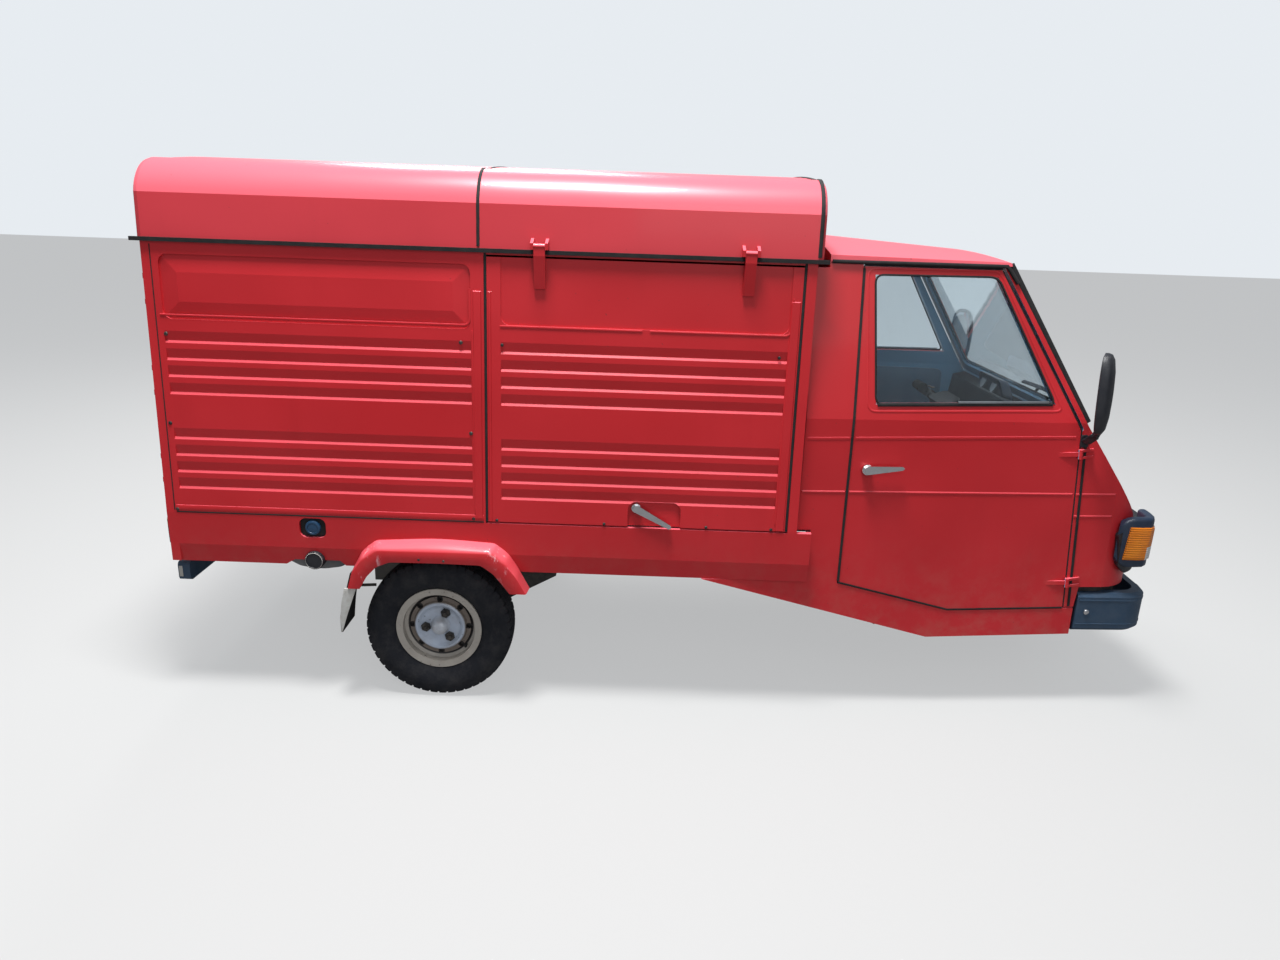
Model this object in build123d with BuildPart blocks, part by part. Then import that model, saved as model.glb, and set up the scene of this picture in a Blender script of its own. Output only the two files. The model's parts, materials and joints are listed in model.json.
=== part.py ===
from build123d import *
from math import atan, atan2, cos, degrees, hypot, radians, sin
import os

os.makedirs("parts", exist_ok=True)

# A light three wheeled van with a steel load box. Millimetres, +X forwards, +Y to its left, +Z up,
# z = 0 at the ground. "half" is half a width, measured from the centre plane.

# Wheels and axles
tyre_radius = 247
tyre_width = 138
rim_flange_radius = 144
rim_seat_radius = 127
rim_width = 100
drum_radius = 88
shaft_radius = 14
rear_axle_x = -776
wheelbase = 2130
front_axle_x = rear_axle_x + wheelbase
running_gap = 0.3

# Load box: it fills the length between the rear overhang and the cab
rear_overhang = 864
cab_setback = 906
cab_gap = 51
box_rear_x = rear_axle_x - rear_overhang
cab_rear_x = front_axle_x - cab_setback
box_front_x = cab_rear_x - cab_gap
box_low_z = 637
box_height = 853
box_top_z = box_low_z + box_height
box_half_low = 690
box_lean_in = 40
box_half_top = box_half_low - box_lean_in
wheel_inset = 65
rear_track = 2 * (box_half_low - wheel_inset)
box_wall = 28
box_floor_thick = 25
bearer_height = 36
seam = 5
flap_seam = 9
flap_length = 966
flap_front_x = box_front_x - 35
panel_seam_x = flap_front_x - flap_length
flap_thick = 22
roof_skin = 18
roof_overhang = 12
roof_shoulder_z = box_top_z + 135
roof_crown_z = box_top_z + 258
roof_end_round = 24
gutter_height = 12
gutter_reach = 10
gutter_overhang = 15
groove_depth = 5
groove_pitch = box_height / 15.8
band_height = 3
recess_depth = 6
skirt_thick = 20
skirt_low_z = box_low_z - 170
skirt_fold_z = box_low_z - 107
skirt_tuck = 10

# Cab, as wide as the top of the box; rear places are measured from its rear face, front ones from the axle
cab_half = box_half_top
cab_taper = 0.079
cab_low_lean = 0.02
cab_up_lean = 0.155
cab_foot_z = 460
belt_z = 1010
door_rear_x = cab_rear_x + 110
cab_gutter_z = box_top_z
cab_skin = 30
door_thick = 34
glass_thick = 5
sill_low = (cab_rear_x + 431, 257)
sill_front = (front_axle_x + 31, 268)
screen_foot = (front_axle_x - 24, belt_z - 10)
screen_head = (front_axle_x - 337, cab_gutter_z + 9)
screen_thick = 18
screen_border = 46
cab_crown_z = cab_gutter_z + 72
cab_front_crown_z = cab_gutter_z + 32
cab_roof_skin = 16
brow_radius = 8
floor_z = 306
floor_thick = 16
seat_riser_x = cab_rear_x + 252
seat_deck_z = box_low_z - 41
swage_z = 770

# Nose, lamps and bumper
nose_reach = 266
nose_turn = (55, 118)
nose_flat = (16, 220)
nose_start_x = front_axle_x - 104
nose_side_x = front_axle_x + 116
nose_tip_x = front_axle_x + nose_reach
nose_corner = (nose_tip_x - nose_turn[0], cab_half - nose_turn[1])
nose_front = (nose_tip_x - nose_flat[0], cab_half - nose_flat[1])
nose_low_z = 442
nose_skin = 24
lamp_low_z = 496
lamp_high_z = 691
bumper_low_z = 278
bumper_high_z = 418
bumper_thick = 38
bumper_reach = 52

# Steering
rake = 20
axle_lead = 44
stem_radius = 22
stem_foot = 272
stem_top = 740
handlebar_half = 300
arch_half = 215
arch_rear_x = front_axle_x - 279
arch_front_x = front_axle_x + 218
arch_top_z = 545
arch_wall = 16


def box_side(z):
    """Half width of the load box at a height: its sides lean in towards the roof."""
    lean = (box_half_low - box_half_top) / (box_top_z - box_low_z)
    return box_half_low - lean * max(z - box_low_z, 0)


def cab_side(x, z):
    """Half width of the cab: narrower forwards, leaning a little below the belt and more above it."""
    lean = cab_low_lean * (min(z, belt_z) - cab_foot_z) + cab_up_lean * max(z - belt_z, 0)
    return cab_half - cab_taper * (x - door_rear_x) - lean


def cab_slab(x, depth_out, depth_in, low, high):
    """Section across the right cab side at x, between two depths under its outer face."""
    heights = (low, belt_z, high)
    outer = [(-cab_side(x, z) + depth_out, z) for z in heights]
    inner = [(-cab_side(x, z) + depth_in, z) for z in reversed(heights)]
    return outer + inner


slab_start = cab_rear_x - 360
slab_run = nose_tip_x - slab_start + 128
slab_way = Vector(1, cab_taper, 0)
side_lean = degrees(atan2(box_half_low - box_half_top, box_top_z - box_low_z))
side_height = hypot(box_top_z - box_low_z, box_half_low - box_half_top)
right_side = Plane(
    origin=(0, -box_half_low, box_low_z),
    x_dir=(1, 0, 0),
    z_dir=(0, -cos(radians(side_lean)), sin(radians(side_lean))),
)

low_side = Plane(
    origin=(door_rear_x, -cab_half, cab_foot_z),
    x_dir=(1, cab_taper, 0),
    z_dir=(cab_taper, -1, cab_low_lean),
)


def lever_points(start, end, wide, narrow):
    """Outline of a tapering lever from its boss to its tip, in its own plane."""
    a = Vector(*start)
    b = Vector(*end)
    run = (b - a).normalized()
    side = Vector(-run.Y, run.X)
    heel = run * wide * 0.8
    corners = [a - heel + side * wide * 0.6, a + side * wide, b + side * narrow, b + run * narrow]
    corners += [b - side * narrow, a - side * wide, a - heel - side * wide * 0.6]
    return [(p.X, p.Y) for p in corners]


def add_swage(low_x, high_x, z):
    """A pressed crease line along the lower cab side, between two places and at one height."""
    with BuildSketch(low_side) as crease:
        with Locations(((low_x + high_x) / 2 - door_rear_x, z - cab_foot_z)):
            Rectangle(high_x - low_x, 10)
    extrude(crease.sketch, amount=2, taper=60)


# Door outline in side view: foot of the rear edge, sill kink, front foot, mirror corner, roof corners
door_foot = (door_rear_x, 458)
door_kink = (cab_rear_x + 494, 361)
door_front_foot = (front_axle_x - 8, 369)
door_corner = (front_axle_x - 48, belt_z - 25)
door_head = (front_axle_x - 358, cab_gutter_z - 12)
door_rear_head = (door_rear_x, cab_gutter_z - 12)
door_outline = [door_foot, door_kink, door_front_foot, door_corner, door_head, door_rear_head]
window_outline = [
    (cab_rear_x + 174, belt_z + 47),
    (front_axle_x - 144, belt_z + 58),
    (front_axle_x - 370, cab_gutter_z - 33),
    (cab_rear_x + 144, cab_gutter_z - 36),
]

# Cab side below and behind the door: the post fills the gap to the box, the sill runs back under the skirt
post_front_x = door_rear_x - seam
sill_tail_x = cab_rear_x - 350
filler_x = box_front_x + 6
cab_side_outline = [
    (sill_tail_x, skirt_low_z - 1),
    sill_low,
    sill_front,
    (sill_front[0], door_front_foot[1] - seam),
    (door_front_foot[0], door_front_foot[1] - seam),
    (door_kink[0], door_kink[1] - seam),
    (post_front_x, door_foot[1] - seam),
    (post_front_x, cab_gutter_z),
    (cab_rear_x, cab_gutter_z),
    (cab_rear_x, cab_gutter_z - 20),
    (filler_x, cab_gutter_z - 20),
    (filler_x, box_low_z + 3),
    (cab_rear_x, box_low_z + 3),
    (cab_rear_x, skirt_low_z - 1),
]
with BuildPart() as cab_sides:
    with BuildSketch(Plane.YZ.offset(slab_start)):
        with BuildLine():
            Polyline(*cab_slab(slab_start, 0, cab_skin, 200, cab_gutter_z), close=True)
        make_face()
    extrude(amount=slab_run, dir=slab_way)
    with BuildSketch(Plane.XZ):
        with BuildLine():
            Polyline(*cab_side_outline, close=True)
        make_face()
    extrude(amount=cab_half * 2, mode=Mode.INTERSECT)
    add_swage(filler_x + 2, post_front_x - 2, swage_z)
    mirror(about=Plane.XZ)
cab_sides.part.label = "cab_sides"
export_step(cab_sides.part, "parts/cab_sides.step")

# Cab doors: one hollow pressing each, with a cut window, front hinged on two outside straps
hinge_heights = (461, 909)
hinge_out = 9
hinge_barrel = 7
hinge_half = 7
strap_reach = 70
hinge_slope = (door_corner[0] - door_front_foot[0]) / (door_corner[1] - door_front_foot[1])


def hinge_x(z):
    """The seam at the door's front edge, where both hinge pins stand on one line."""
    return door_corner[0] + seam / 2 + hinge_slope * (z - door_corner[1])


def hinge_point(z):
    """A point on the right door's hinge axis at a height."""
    return Vector(hinge_x(z), -cab_side(hinge_x(z), z) - hinge_out, z)


hinge_way = (hinge_point(hinge_heights[1]) - hinge_point(hinge_heights[0])).normalized()


def hinge_plane(z, rise):
    """A plane square to the hinge axis, raised along it from a height."""
    forwards = (hinge_way.Z, 0, -hinge_way.X)
    return Plane(origin=hinge_point(z) + hinge_way * rise, x_dir=forwards, z_dir=hinge_way)


with BuildPart() as cab_door_right:
    with BuildSketch(Plane.YZ.offset(slab_start)):
        with BuildLine():
            Polyline(*cab_slab(slab_start, 0, door_thick, 200, cab_gutter_z), close=True)
        make_face()
    extrude(amount=slab_run, dir=slab_way)
    with BuildSketch(Plane.XZ):
        with BuildLine():
            Polyline(*door_outline, close=True)
        make_face()
        with BuildLine():
            Polyline(*window_outline, close=True)
        make_face(mode=Mode.SUBTRACT)
    extrude(amount=cab_half * 2, mode=Mode.INTERSECT)
    add_swage(door_rear_x + 3, hinge_x(swage_z) - seam, swage_z)
    for z in hinge_heights:
        with BuildSketch(hinge_plane(z, -hinge_half)):
            with BuildLine():
                skin = hinge_out - strap_reach * cab_taper
                Polyline((-strap_reach, skin), (0, -2), (0, 4), (-strap_reach, skin + 6.5), close=True)
            make_face()
            Circle(hinge_barrel)
        extrude(amount=2 * hinge_half)
cab_door_right.part.label = "cab_door_right"
export_step(cab_door_right.part, "parts/cab_door_right.step")
with BuildPart() as cab_door_left:
    mirror(cab_door_right.part, about=Plane.XZ)
cab_door_left.part.label = "cab_door_left"
export_step(cab_door_left.part, "parts/cab_door_left.step")

with BuildPart() as door_glass_right:
    glass_in = (door_thick - glass_thick) / 2
    with BuildSketch(Plane.YZ.offset(slab_start)):
        with BuildLine():
            Polyline(*cab_slab(slab_start, glass_in, glass_in + glass_thick, 200, cab_gutter_z), close=True)
        make_face()
    extrude(amount=slab_run, dir=slab_way)
    with BuildSketch(Plane.XZ):
        with BuildLine():
            Polyline(*window_outline, close=True)
        make_face()
    extrude(amount=cab_half * 2, mode=Mode.INTERSECT)
door_glass_right.part.label = "door_glass_right"
export_step(door_glass_right.part, "parts/door_glass_right.step")
with BuildPart() as door_glass_left:
    mirror(door_glass_right.part, about=Plane.XZ)
door_glass_left.part.label = "door_glass_left"
export_step(door_glass_left.part, "parts/door_glass_left.step")

# Door handles: a boss on the door skin and a lever that points forwards
handle_at = (door_rear_x + 53, 849)
handle_reach = 112
handle_boss = 17
handle_plane = Plane(
    origin=(handle_at[0], -cab_side(*handle_at), handle_at[1]),
    x_dir=(1, cab_taper, 0),
    z_dir=(cab_taper, -1, cab_low_lean),
)
with BuildPart() as door_handle_right:
    with BuildSketch(handle_plane):
        Circle(handle_boss)
    extrude(amount=16)
    with BuildSketch(handle_plane.offset(16)):
        with BuildLine():
            Polyline(*lever_points((0, 0), (handle_reach, 8), 14, 6), close=True)
        make_face()
    extrude(amount=11)
door_handle_right.part.label = "door_handle_right"
export_step(door_handle_right.part, "parts/door_handle_right.step")
with BuildPart() as door_handle_left:
    mirror(door_handle_right.part, about=Plane.XZ)
door_handle_left.part.label = "door_handle_left"
export_step(door_handle_left.part, "parts/door_handle_left.step")

# Cab envelope: the space between the two outer faces, which trims what reaches across the cab
with BuildPart() as cab_envelope:
    with BuildSketch(Plane.YZ.offset(slab_start)):
        with BuildLine():
            Polyline(*cab_slab(slab_start, 0, 1.2 * cab_half, 200, cab_gutter_z + 40), close=True)
        make_face()
    extrude(amount=slab_run, dir=slab_way)
    mirror(about=Plane.XZ)

# Windscreen frame: both front posts, header and cowl rail, with the glass set in it
screen_run = screen_foot[0] - screen_head[0]
screen_rise = screen_head[1] - screen_foot[1]
screen_length = hypot(screen_run, screen_rise)
screen_plane = Plane(
    origin=(screen_foot[0], 0, screen_foot[1]),
    x_dir=(0, 1, 0),
    z_dir=(screen_rise, 0, screen_run),
)
screen_inner_foot = (
    screen_foot[0] - screen_thick * screen_rise / screen_length,
    screen_foot[1] - screen_thick * screen_run / screen_length,
)
screen_half_low = cab_side(*screen_foot) + 5
screen_half_high = cab_side(*screen_head) + 5
glass_outline = [
    (-screen_half_low + 5 + screen_border, 38),
    (screen_half_low - 5 - screen_border, 38),
    (screen_half_high - 5 - screen_border, screen_length - 40),
    (-screen_half_high + 5 + screen_border, screen_length - 40),
]
with BuildPart() as windscreen_frame:
    with BuildSketch(screen_plane):
        with BuildLine():
            Polyline((-screen_half_low, 0), (screen_half_low, 0), (screen_half_high, screen_length),
                     (-screen_half_high, screen_length), close=True)
        make_face()
        with BuildSketch(mode=Mode.SUBTRACT):
            with BuildLine():
                Polyline(*glass_outline, close=True)
            make_face()
            fillet(vertices(), 30)
    extrude(amount=-screen_thick)
    add(cab_envelope.part, mode=Mode.INTERSECT)
    split(bisect_by=Plane.XY.offset(cab_gutter_z), keep=Keep.BOTTOM)
windscreen_frame.part.label = "windscreen_frame"
export_step(windscreen_frame.part, "parts/windscreen_frame.step")

with BuildPart() as windscreen:
    with BuildSketch(screen_plane.offset(-4)):
        with BuildLine():
            Polyline(*glass_outline, close=True)
        make_face()
        fillet(vertices(), 30)
    extrude(amount=-glass_thick)
windscreen.part.label = "windscreen"
export_step(windscreen.part, "parts/windscreen.step")

# Cab roof: a shallow crowned shell, lower at the front, with a rounded brow
roof_ends = (
    # place, crown height, height of the side edge above the gutter line
    (cab_rear_x, cab_crown_z, 20),
    (screen_head[0] + 8, cab_front_crown_z, 12),
)
with BuildPart() as cab_roof:
    for x, crown, edge in roof_ends:
        half = cab_side(x, cab_gutter_z) + 3
        with BuildSketch(Plane.YZ.offset(x)):
            with BuildLine():
                Polyline((-half + 3, cab_gutter_z + edge), (-half, cab_gutter_z), (half, cab_gutter_z),
                         (half - 3, cab_gutter_z + edge))
                ThreePointArc((half - 3, cab_gutter_z + edge), (0, crown), (-half + 3, cab_gutter_z + edge))
            make_face()
    loft(ruled=True)
    offset(amount=-cab_roof_skin, openings=faces().sort_by(Axis.Z)[0])
    high_edges = edges().filter_by_position(Axis.Z, cab_gutter_z + 11, cab_crown_z)
    fillet(high_edges.sort_by(Axis.X)[-1], brow_radius)
cab_roof.part.label = "cab_roof"
export_step(cab_roof.part, "parts/cab_roof.step")

# Cab rear wall between the door posts, from the chassis rails up to the gutter
rear_wall_low_z = box_low_z - box_floor_thick - bearer_height
with BuildPart() as cab_rear_wall:
    wall_x = cab_rear_x + cab_roof_skin + 22
    inner_foot = cab_side(wall_x, rear_wall_low_z) - cab_skin
    inner_belt = cab_side(wall_x, belt_z) - cab_skin
    inner_top = cab_side(wall_x, cab_gutter_z) - cab_skin
    with BuildSketch(Plane.YZ.offset(cab_rear_x + cab_roof_skin)):
        with BuildLine():
            Polyline((-inner_foot, rear_wall_low_z), (inner_foot, rear_wall_low_z), (inner_belt, belt_z),
                     (inner_top, cab_gutter_z), (-inner_top, cab_gutter_z), (-inner_belt, belt_z),
                     close=True)
        make_face()
    extrude(amount=22)
cab_rear_wall.part.label = "cab_rear_wall"
export_step(cab_rear_wall.part, "parts/cab_rear_wall.step")


nose_base_z = 250
nose_rise = 800
nose_lean = degrees(atan(cab_low_lean))


def nose_outline(inset):
    """Plan of the nose at its base: tapering sides, round corners and a slightly bowed front."""
    side = cab_side(nose_side_x, nose_base_z) - inset
    start = cab_side(nose_start_x, nose_base_z) - inset
    corner = (nose_corner[0] - inset * 0.6, nose_corner[1] - inset * 0.8)
    front = (nose_front[0] - inset * 0.95, nose_front[1] - inset * 0.2)
    tip = (nose_tip_x - inset, 0)
    with BuildLine() as outline:
        Line((nose_start_x, -start), (nose_side_x, -side))
        ThreePointArc((nose_side_x, -side), (corner[0], -corner[1]), (front[0], -front[1]))
        ThreePointArc((front[0], -front[1]), tip, front)
        ThreePointArc(front, corner, (nose_side_x, side))
        Line((nose_side_x, side), (nose_start_x, start))
        Line((nose_start_x, start), (nose_start_x, -start))
    return outline.line


def nose_form(inset):
    """The nose's leaning sides as one solid, with its faces moved inwards by the inset."""
    with BuildPart() as form:
        with BuildSketch(Plane.XY.offset(nose_base_z)):
            add(nose_outline(inset))
            make_face()
        extrude(amount=nose_rise, taper=nose_lean)
    return form.part


nose_rear_foot = door_front_foot[0] + seam
hood_low = (nose_tip_x - 30, 655)
hood_fold = (nose_tip_x - 122, 774)
hood_top = (nose_tip_x - 212, 896)
nose_profile = [
    (nose_rear_foot, sill_front[1] + 101),
    (sill_front[0], sill_front[1] + 101),
    (sill_front[0] + 7, nose_low_z),
    (nose_tip_x + 80, nose_low_z),
    (nose_tip_x + 80, hood_low[1] - 35),
    hood_low,
    hood_fold,
    hood_top,
    screen_foot,
    screen_inner_foot,
    (door_corner[0] + seam, door_corner[1]),
]
cowl_foot = (nose_tip_x - 232, belt_z - 126)
cowl_head = (nose_tip_x - 311, belt_z - 25)
hollow_profile = [
    (nose_start_x - 50, 190),
    (nose_tip_x + 80, 190),
    (nose_tip_x + 80, hood_low[1] - 50),
    (hood_low[0] - 22, hood_low[1] - 10),
    (hood_fold[0] - 20, hood_fold[1] - 12),
    cowl_foot,
    cowl_head,
    (nose_tip_x - 330, belt_z),
    (nose_start_x - 50, belt_z),
]
lug_gap = 0.6
lug_height = 8
lug_reach = 45
louvre_heights = (520, 552, 584, 616)
louvre_half = 190
louvre_height = 12
with BuildPart() as nose_hollow:
    add(nose_form(nose_skin))
    with BuildSketch(Plane.XZ):
        with BuildLine():
            Polyline(*hollow_profile, close=True)
        make_face()
    extrude(amount=cab_half + 50, both=True, mode=Mode.INTERSECT)
with BuildPart() as nose:
    add(nose_form(0))
    with BuildSketch(Plane.XZ):
        with BuildLine():
            Polyline(*nose_profile, close=True)
        make_face()
    extrude(amount=cab_half + 50, both=True, mode=Mode.INTERSECT)
    add(nose_hollow.part, mode=Mode.SUBTRACT)
    for z in louvre_heights:
        with BuildSketch(Plane.YZ.offset(nose_tip_x - 16)):
            with Locations((0, z)):
                SlotOverall(2 * louvre_half, louvre_height)
        extrude(amount=30, mode=Mode.SUBTRACT)
    add_swage(hinge_x(swage_z) + seam, nose_side_x - 4, swage_z)
    add_swage(hinge_x(swage_z - 76) + seam, nose_side_x - 4, swage_z - 76)
    for z in hinge_heights:
        for rise in (-hinge_half - lug_gap - lug_height, hinge_half + lug_gap):
            with BuildSketch(hinge_plane(z, rise)):
                with BuildLine():
                    skin = hinge_out + lug_reach * cab_taper
                    Polyline((lug_reach, skin - 5), (0, -4), (0, 4), (6, hinge_out + 0.8),
                             (lug_reach, skin + 0.8), close=True)
                make_face()
                Circle(hinge_barrel)
            extrude(amount=lug_height)
    split(bisect_by=Plane.XZ, keep=Keep.TOP)
    mirror(about=Plane.XZ)
nose.part.label = "nose"
export_step(nose.part, "parts/nose.step")

# Lamp surrounds, headlamps and corner indicators follow the nose corner as bands of its plan
def nose_band(outer, inner, low, high):
    """A band round the nose between two insets and two heights."""
    with BuildPart() as band:
        add(nose_form(outer))
        add(nose_form(inner), mode=Mode.SUBTRACT)
        split(bisect_by=Plane.XY.offset(low), keep=Keep.TOP)
        split(bisect_by=Plane.XY.offset(high), keep=Keep.BOTTOM)
    return band.part


headlamp_half = (cab_half - 388, cab_half - 226)
lamp_middle = sum(headlamp_half) / 2
lamp_inner_half = headlamp_half[0] - 32
indicator_x = nose_tip_x - 83
indicator_half = headlamp_half[1] + 26
surround_stand = 24
headlamp_stand = 20
indicator_stand = 34
lens_low_z = lamp_low_z + 22
lens_high_z = lamp_high_z - 40
lens_mid_z = (lens_low_z + lens_high_z) / 2
surround_outline = [
    (nose_tip_x + 80, lamp_high_z - 18),
    (nose_tip_x - 88, lamp_high_z - 18),
    (nose_tip_x - 132, lamp_high_z - 58),
    (nose_tip_x - 116, lamp_low_z + 32),
    (nose_tip_x - 82, lamp_low_z),
    (nose_tip_x + 80, lamp_low_z),
]
with BuildPart() as lamp_surrounds:
    add(nose_band(-surround_stand, -running_gap, lamp_low_z, lamp_high_z - 18))
    with BuildSketch(Plane.XZ.offset(lamp_inner_half)):
        with BuildLine():
            Polyline(*surround_outline, close=True)
        make_face()
    extrude(amount=cab_half, mode=Mode.INTERSECT)
    with BuildSketch(Plane.YZ.offset(nose_side_x + 30)):
        with Locations((-lamp_middle, lens_mid_z)):
            Rectangle(headlamp_half[1] - headlamp_half[0], lens_high_z - lens_low_z)
    extrude(amount=200, mode=Mode.SUBTRACT)
    with BuildSketch(Plane.XZ.offset(indicator_half)):
        with Locations((indicator_x + 100, lens_mid_z)):
            Rectangle(200, lens_high_z - lens_low_z)
    extrude(amount=200, mode=Mode.SUBTRACT)
    mirror(about=Plane.XZ)
lamp_surrounds.part.label = "lamp_surrounds"
export_step(lamp_surrounds.part, "parts/lamp_surrounds.step")

with BuildPart() as headlamps:
    add(nose_band(-headlamp_stand, -running_gap, lens_low_z, lens_high_z))
    with BuildSketch(Plane.YZ.offset(nose_side_x + 30)):
        with Locations((-lamp_middle, lens_mid_z)):
            Rectangle(headlamp_half[1] - headlamp_half[0], 2 * (lens_high_z - lens_low_z))
    extrude(amount=200, mode=Mode.INTERSECT)
    mirror(about=Plane.XZ)
headlamps.part.label = "headlamps"
export_step(headlamps.part, "parts/headlamps.step")

with BuildPart() as indicators:
    add(nose_band(-indicator_stand, -running_gap, lens_low_z, lens_high_z))
    with BuildSketch(Plane.XZ.offset(indicator_half)):
        with Locations((indicator_x + 100, lens_mid_z)):
            Rectangle(200, 2 * (lens_high_z - lens_low_z))
    extrude(amount=200, mode=Mode.INTERSECT)
    mirror(about=Plane.XZ)
indicators.part.label = "indicators"
export_step(indicators.part, "parts/indicators.step")

# Front bumper: a moulded bar round the nose foot, on two brackets from the wheel arch
bumper_side = cab_side(sill_front[0], bumper_low_z)
bumper_start_x = sill_front[0] + 11
bumper_bevel = 13
bracket_thick = 28
bracket_half = arch_half + arch_wall + bracket_thick / 2
bracket_start_x = arch_front_x - 50


def bumper_outline(inset):
    """Plan of the bumper's outer face, moved inwards by the inset and open at its rear."""
    side = bumper_side - inset
    start_x = bumper_start_x - inset
    turn = (nose_tip_x - 44 - 0.3 * inset, side - 10)
    elbow = (nose_tip_x + 20 - 0.8 * inset, bumper_side - 44 - 0.7 * inset)
    front = (nose_tip_x + 40 - 0.95 * inset, bumper_side - 114 - 0.1 * inset)
    with BuildLine() as outline:
        Polyline(turn, (start_x, side), (start_x, -side), (turn[0], -turn[1]))
        ThreePointArc((turn[0], -turn[1]), (elbow[0], -elbow[1]), (front[0], -front[1]))
        ThreePointArc((front[0], -front[1]), (nose_tip_x + bumper_reach - inset, 0), front)
        ThreePointArc(front, elbow, turn)
    return outline.line


bumper_layers = [
    (bumper_low_z, bumper_low_z + bumper_bevel, bumper_bevel, 0),
    (bumper_low_z + bumper_bevel, bumper_high_z - bumper_bevel, 0, 0),
    (bumper_high_z - bumper_bevel, bumper_high_z, 0, bumper_bevel),
]
with BuildPart() as front_bumper:
    for low_z, high_z, low_inset, high_inset in bumper_layers:
        with BuildSketch(Plane.XY.offset(low_z)):
            add(bumper_outline(low_inset))
            make_face()
        with BuildSketch(Plane.XY.offset(high_z)):
            add(bumper_outline(high_inset))
            make_face()
        loft(ruled=True)
    split(bisect_by=Plane.YZ.offset(bumper_start_x), keep=Keep.TOP)
    with BuildSketch(Plane.XY.offset(bumper_low_z)):
        add(bumper_outline(bumper_thick))
        make_face()
    extrude(amount=bumper_high_z - bumper_low_z, mode=Mode.SUBTRACT)
    with BuildSketch(Plane.XY.offset(340)):
        bracket_length = nose_tip_x + 22 - bracket_start_x
        for side in (-1, 1):
            with Locations((bracket_start_x + bracket_length / 2, side * bracket_half)):
                Rectangle(bracket_length, bracket_thick)
    extrude(amount=50)
front_bumper.part.label = "front_bumper"
export_step(front_bumper.part, "parts/front_bumper.step")

# Cab floor, seat box, and the arch over the steered wheel with the steering head on top
steer_way = Vector(-sin(radians(rake)), 0, cos(radians(rake)))
steer_foot = Vector(front_axle_x - axle_lead, 0, tyre_radius)
steer_plane = Plane(origin=steer_foot, x_dir=(0, 1, 0), z_dir=steer_way)
head_radius = 36
floor_front_end_x = door_front_foot[0] - 6
arch_half_out = arch_half + arch_wall
with BuildPart() as cab_floor:
    with BuildSketch(Plane.XY.offset(floor_z - floor_thick)):
        with BuildLine():
            near = cab_side(seat_riser_x, floor_z) - cab_skin - running_gap
            far = cab_side(floor_front_end_x, floor_z) - cab_skin - running_gap
            Polyline((seat_riser_x, -near), (floor_front_end_x, -far), (floor_front_end_x, far),
                     (seat_riser_x, near), close=True)
        make_face()
        with Locations((arch_rear_x - arch_wall + cab_half, 0)):
            Rectangle(2 * cab_half, 2 * arch_half_out, mode=Mode.SUBTRACT)
    extrude(amount=floor_thick)
cab_floor.part.label = "cab_floor"
export_step(cab_floor.part, "parts/cab_floor.step")

seat_half = cab_side(seat_riser_x, seat_deck_z) - door_thick - seam
deck_rear_x = cab_rear_x + cab_roof_skin + 22
with BuildPart() as seat_box:
    with BuildSketch(Plane.XZ.offset(-seat_half)):
        with BuildLine():
            Polyline((seat_riser_x, floor_z), (seat_riser_x + 16, floor_z), (seat_riser_x + 16, seat_deck_z),
                     (deck_rear_x, seat_deck_z), (deck_rear_x, seat_deck_z - floor_thick),
                     (seat_riser_x, seat_deck_z - floor_thick), close=True)
        make_face()
    extrude(amount=2 * seat_half)
seat_box.part.label = "seat_box"
export_step(seat_box.part, "parts/seat_box.step")

with BuildPart() as front_wheel_arch:
    with BuildSketch(Plane.XY.offset(floor_z - floor_thick)):
        with Locations(((arch_rear_x + arch_front_x) / 2 - arch_wall / 2, 0)):
            Rectangle(arch_front_x - arch_rear_x + arch_wall, 2 * arch_half_out)
    extrude(amount=arch_top_z + arch_wall - floor_z + floor_thick)
    with BuildSketch(Plane.XY.offset(floor_z - floor_thick)):
        with Locations(((arch_rear_x + arch_front_x + 40) / 2, 0)):
            Rectangle(arch_front_x + 40 - arch_rear_x, 2 * arch_half)
    extrude(amount=arch_top_z - floor_z + floor_thick, mode=Mode.SUBTRACT)
    with BuildSketch(steer_plane.offset(stem_foot + 18)):
        Circle(head_radius)
    extrude(amount=130)
    with BuildSketch(steer_plane.offset(stem_foot - 60)):
        Circle(stem_radius + running_gap)
    extrude(amount=400, mode=Mode.SUBTRACT)
front_wheel_arch.part.label = "front_wheel_arch"
export_step(front_wheel_arch.part, "parts/front_wheel_arch.step")

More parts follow.
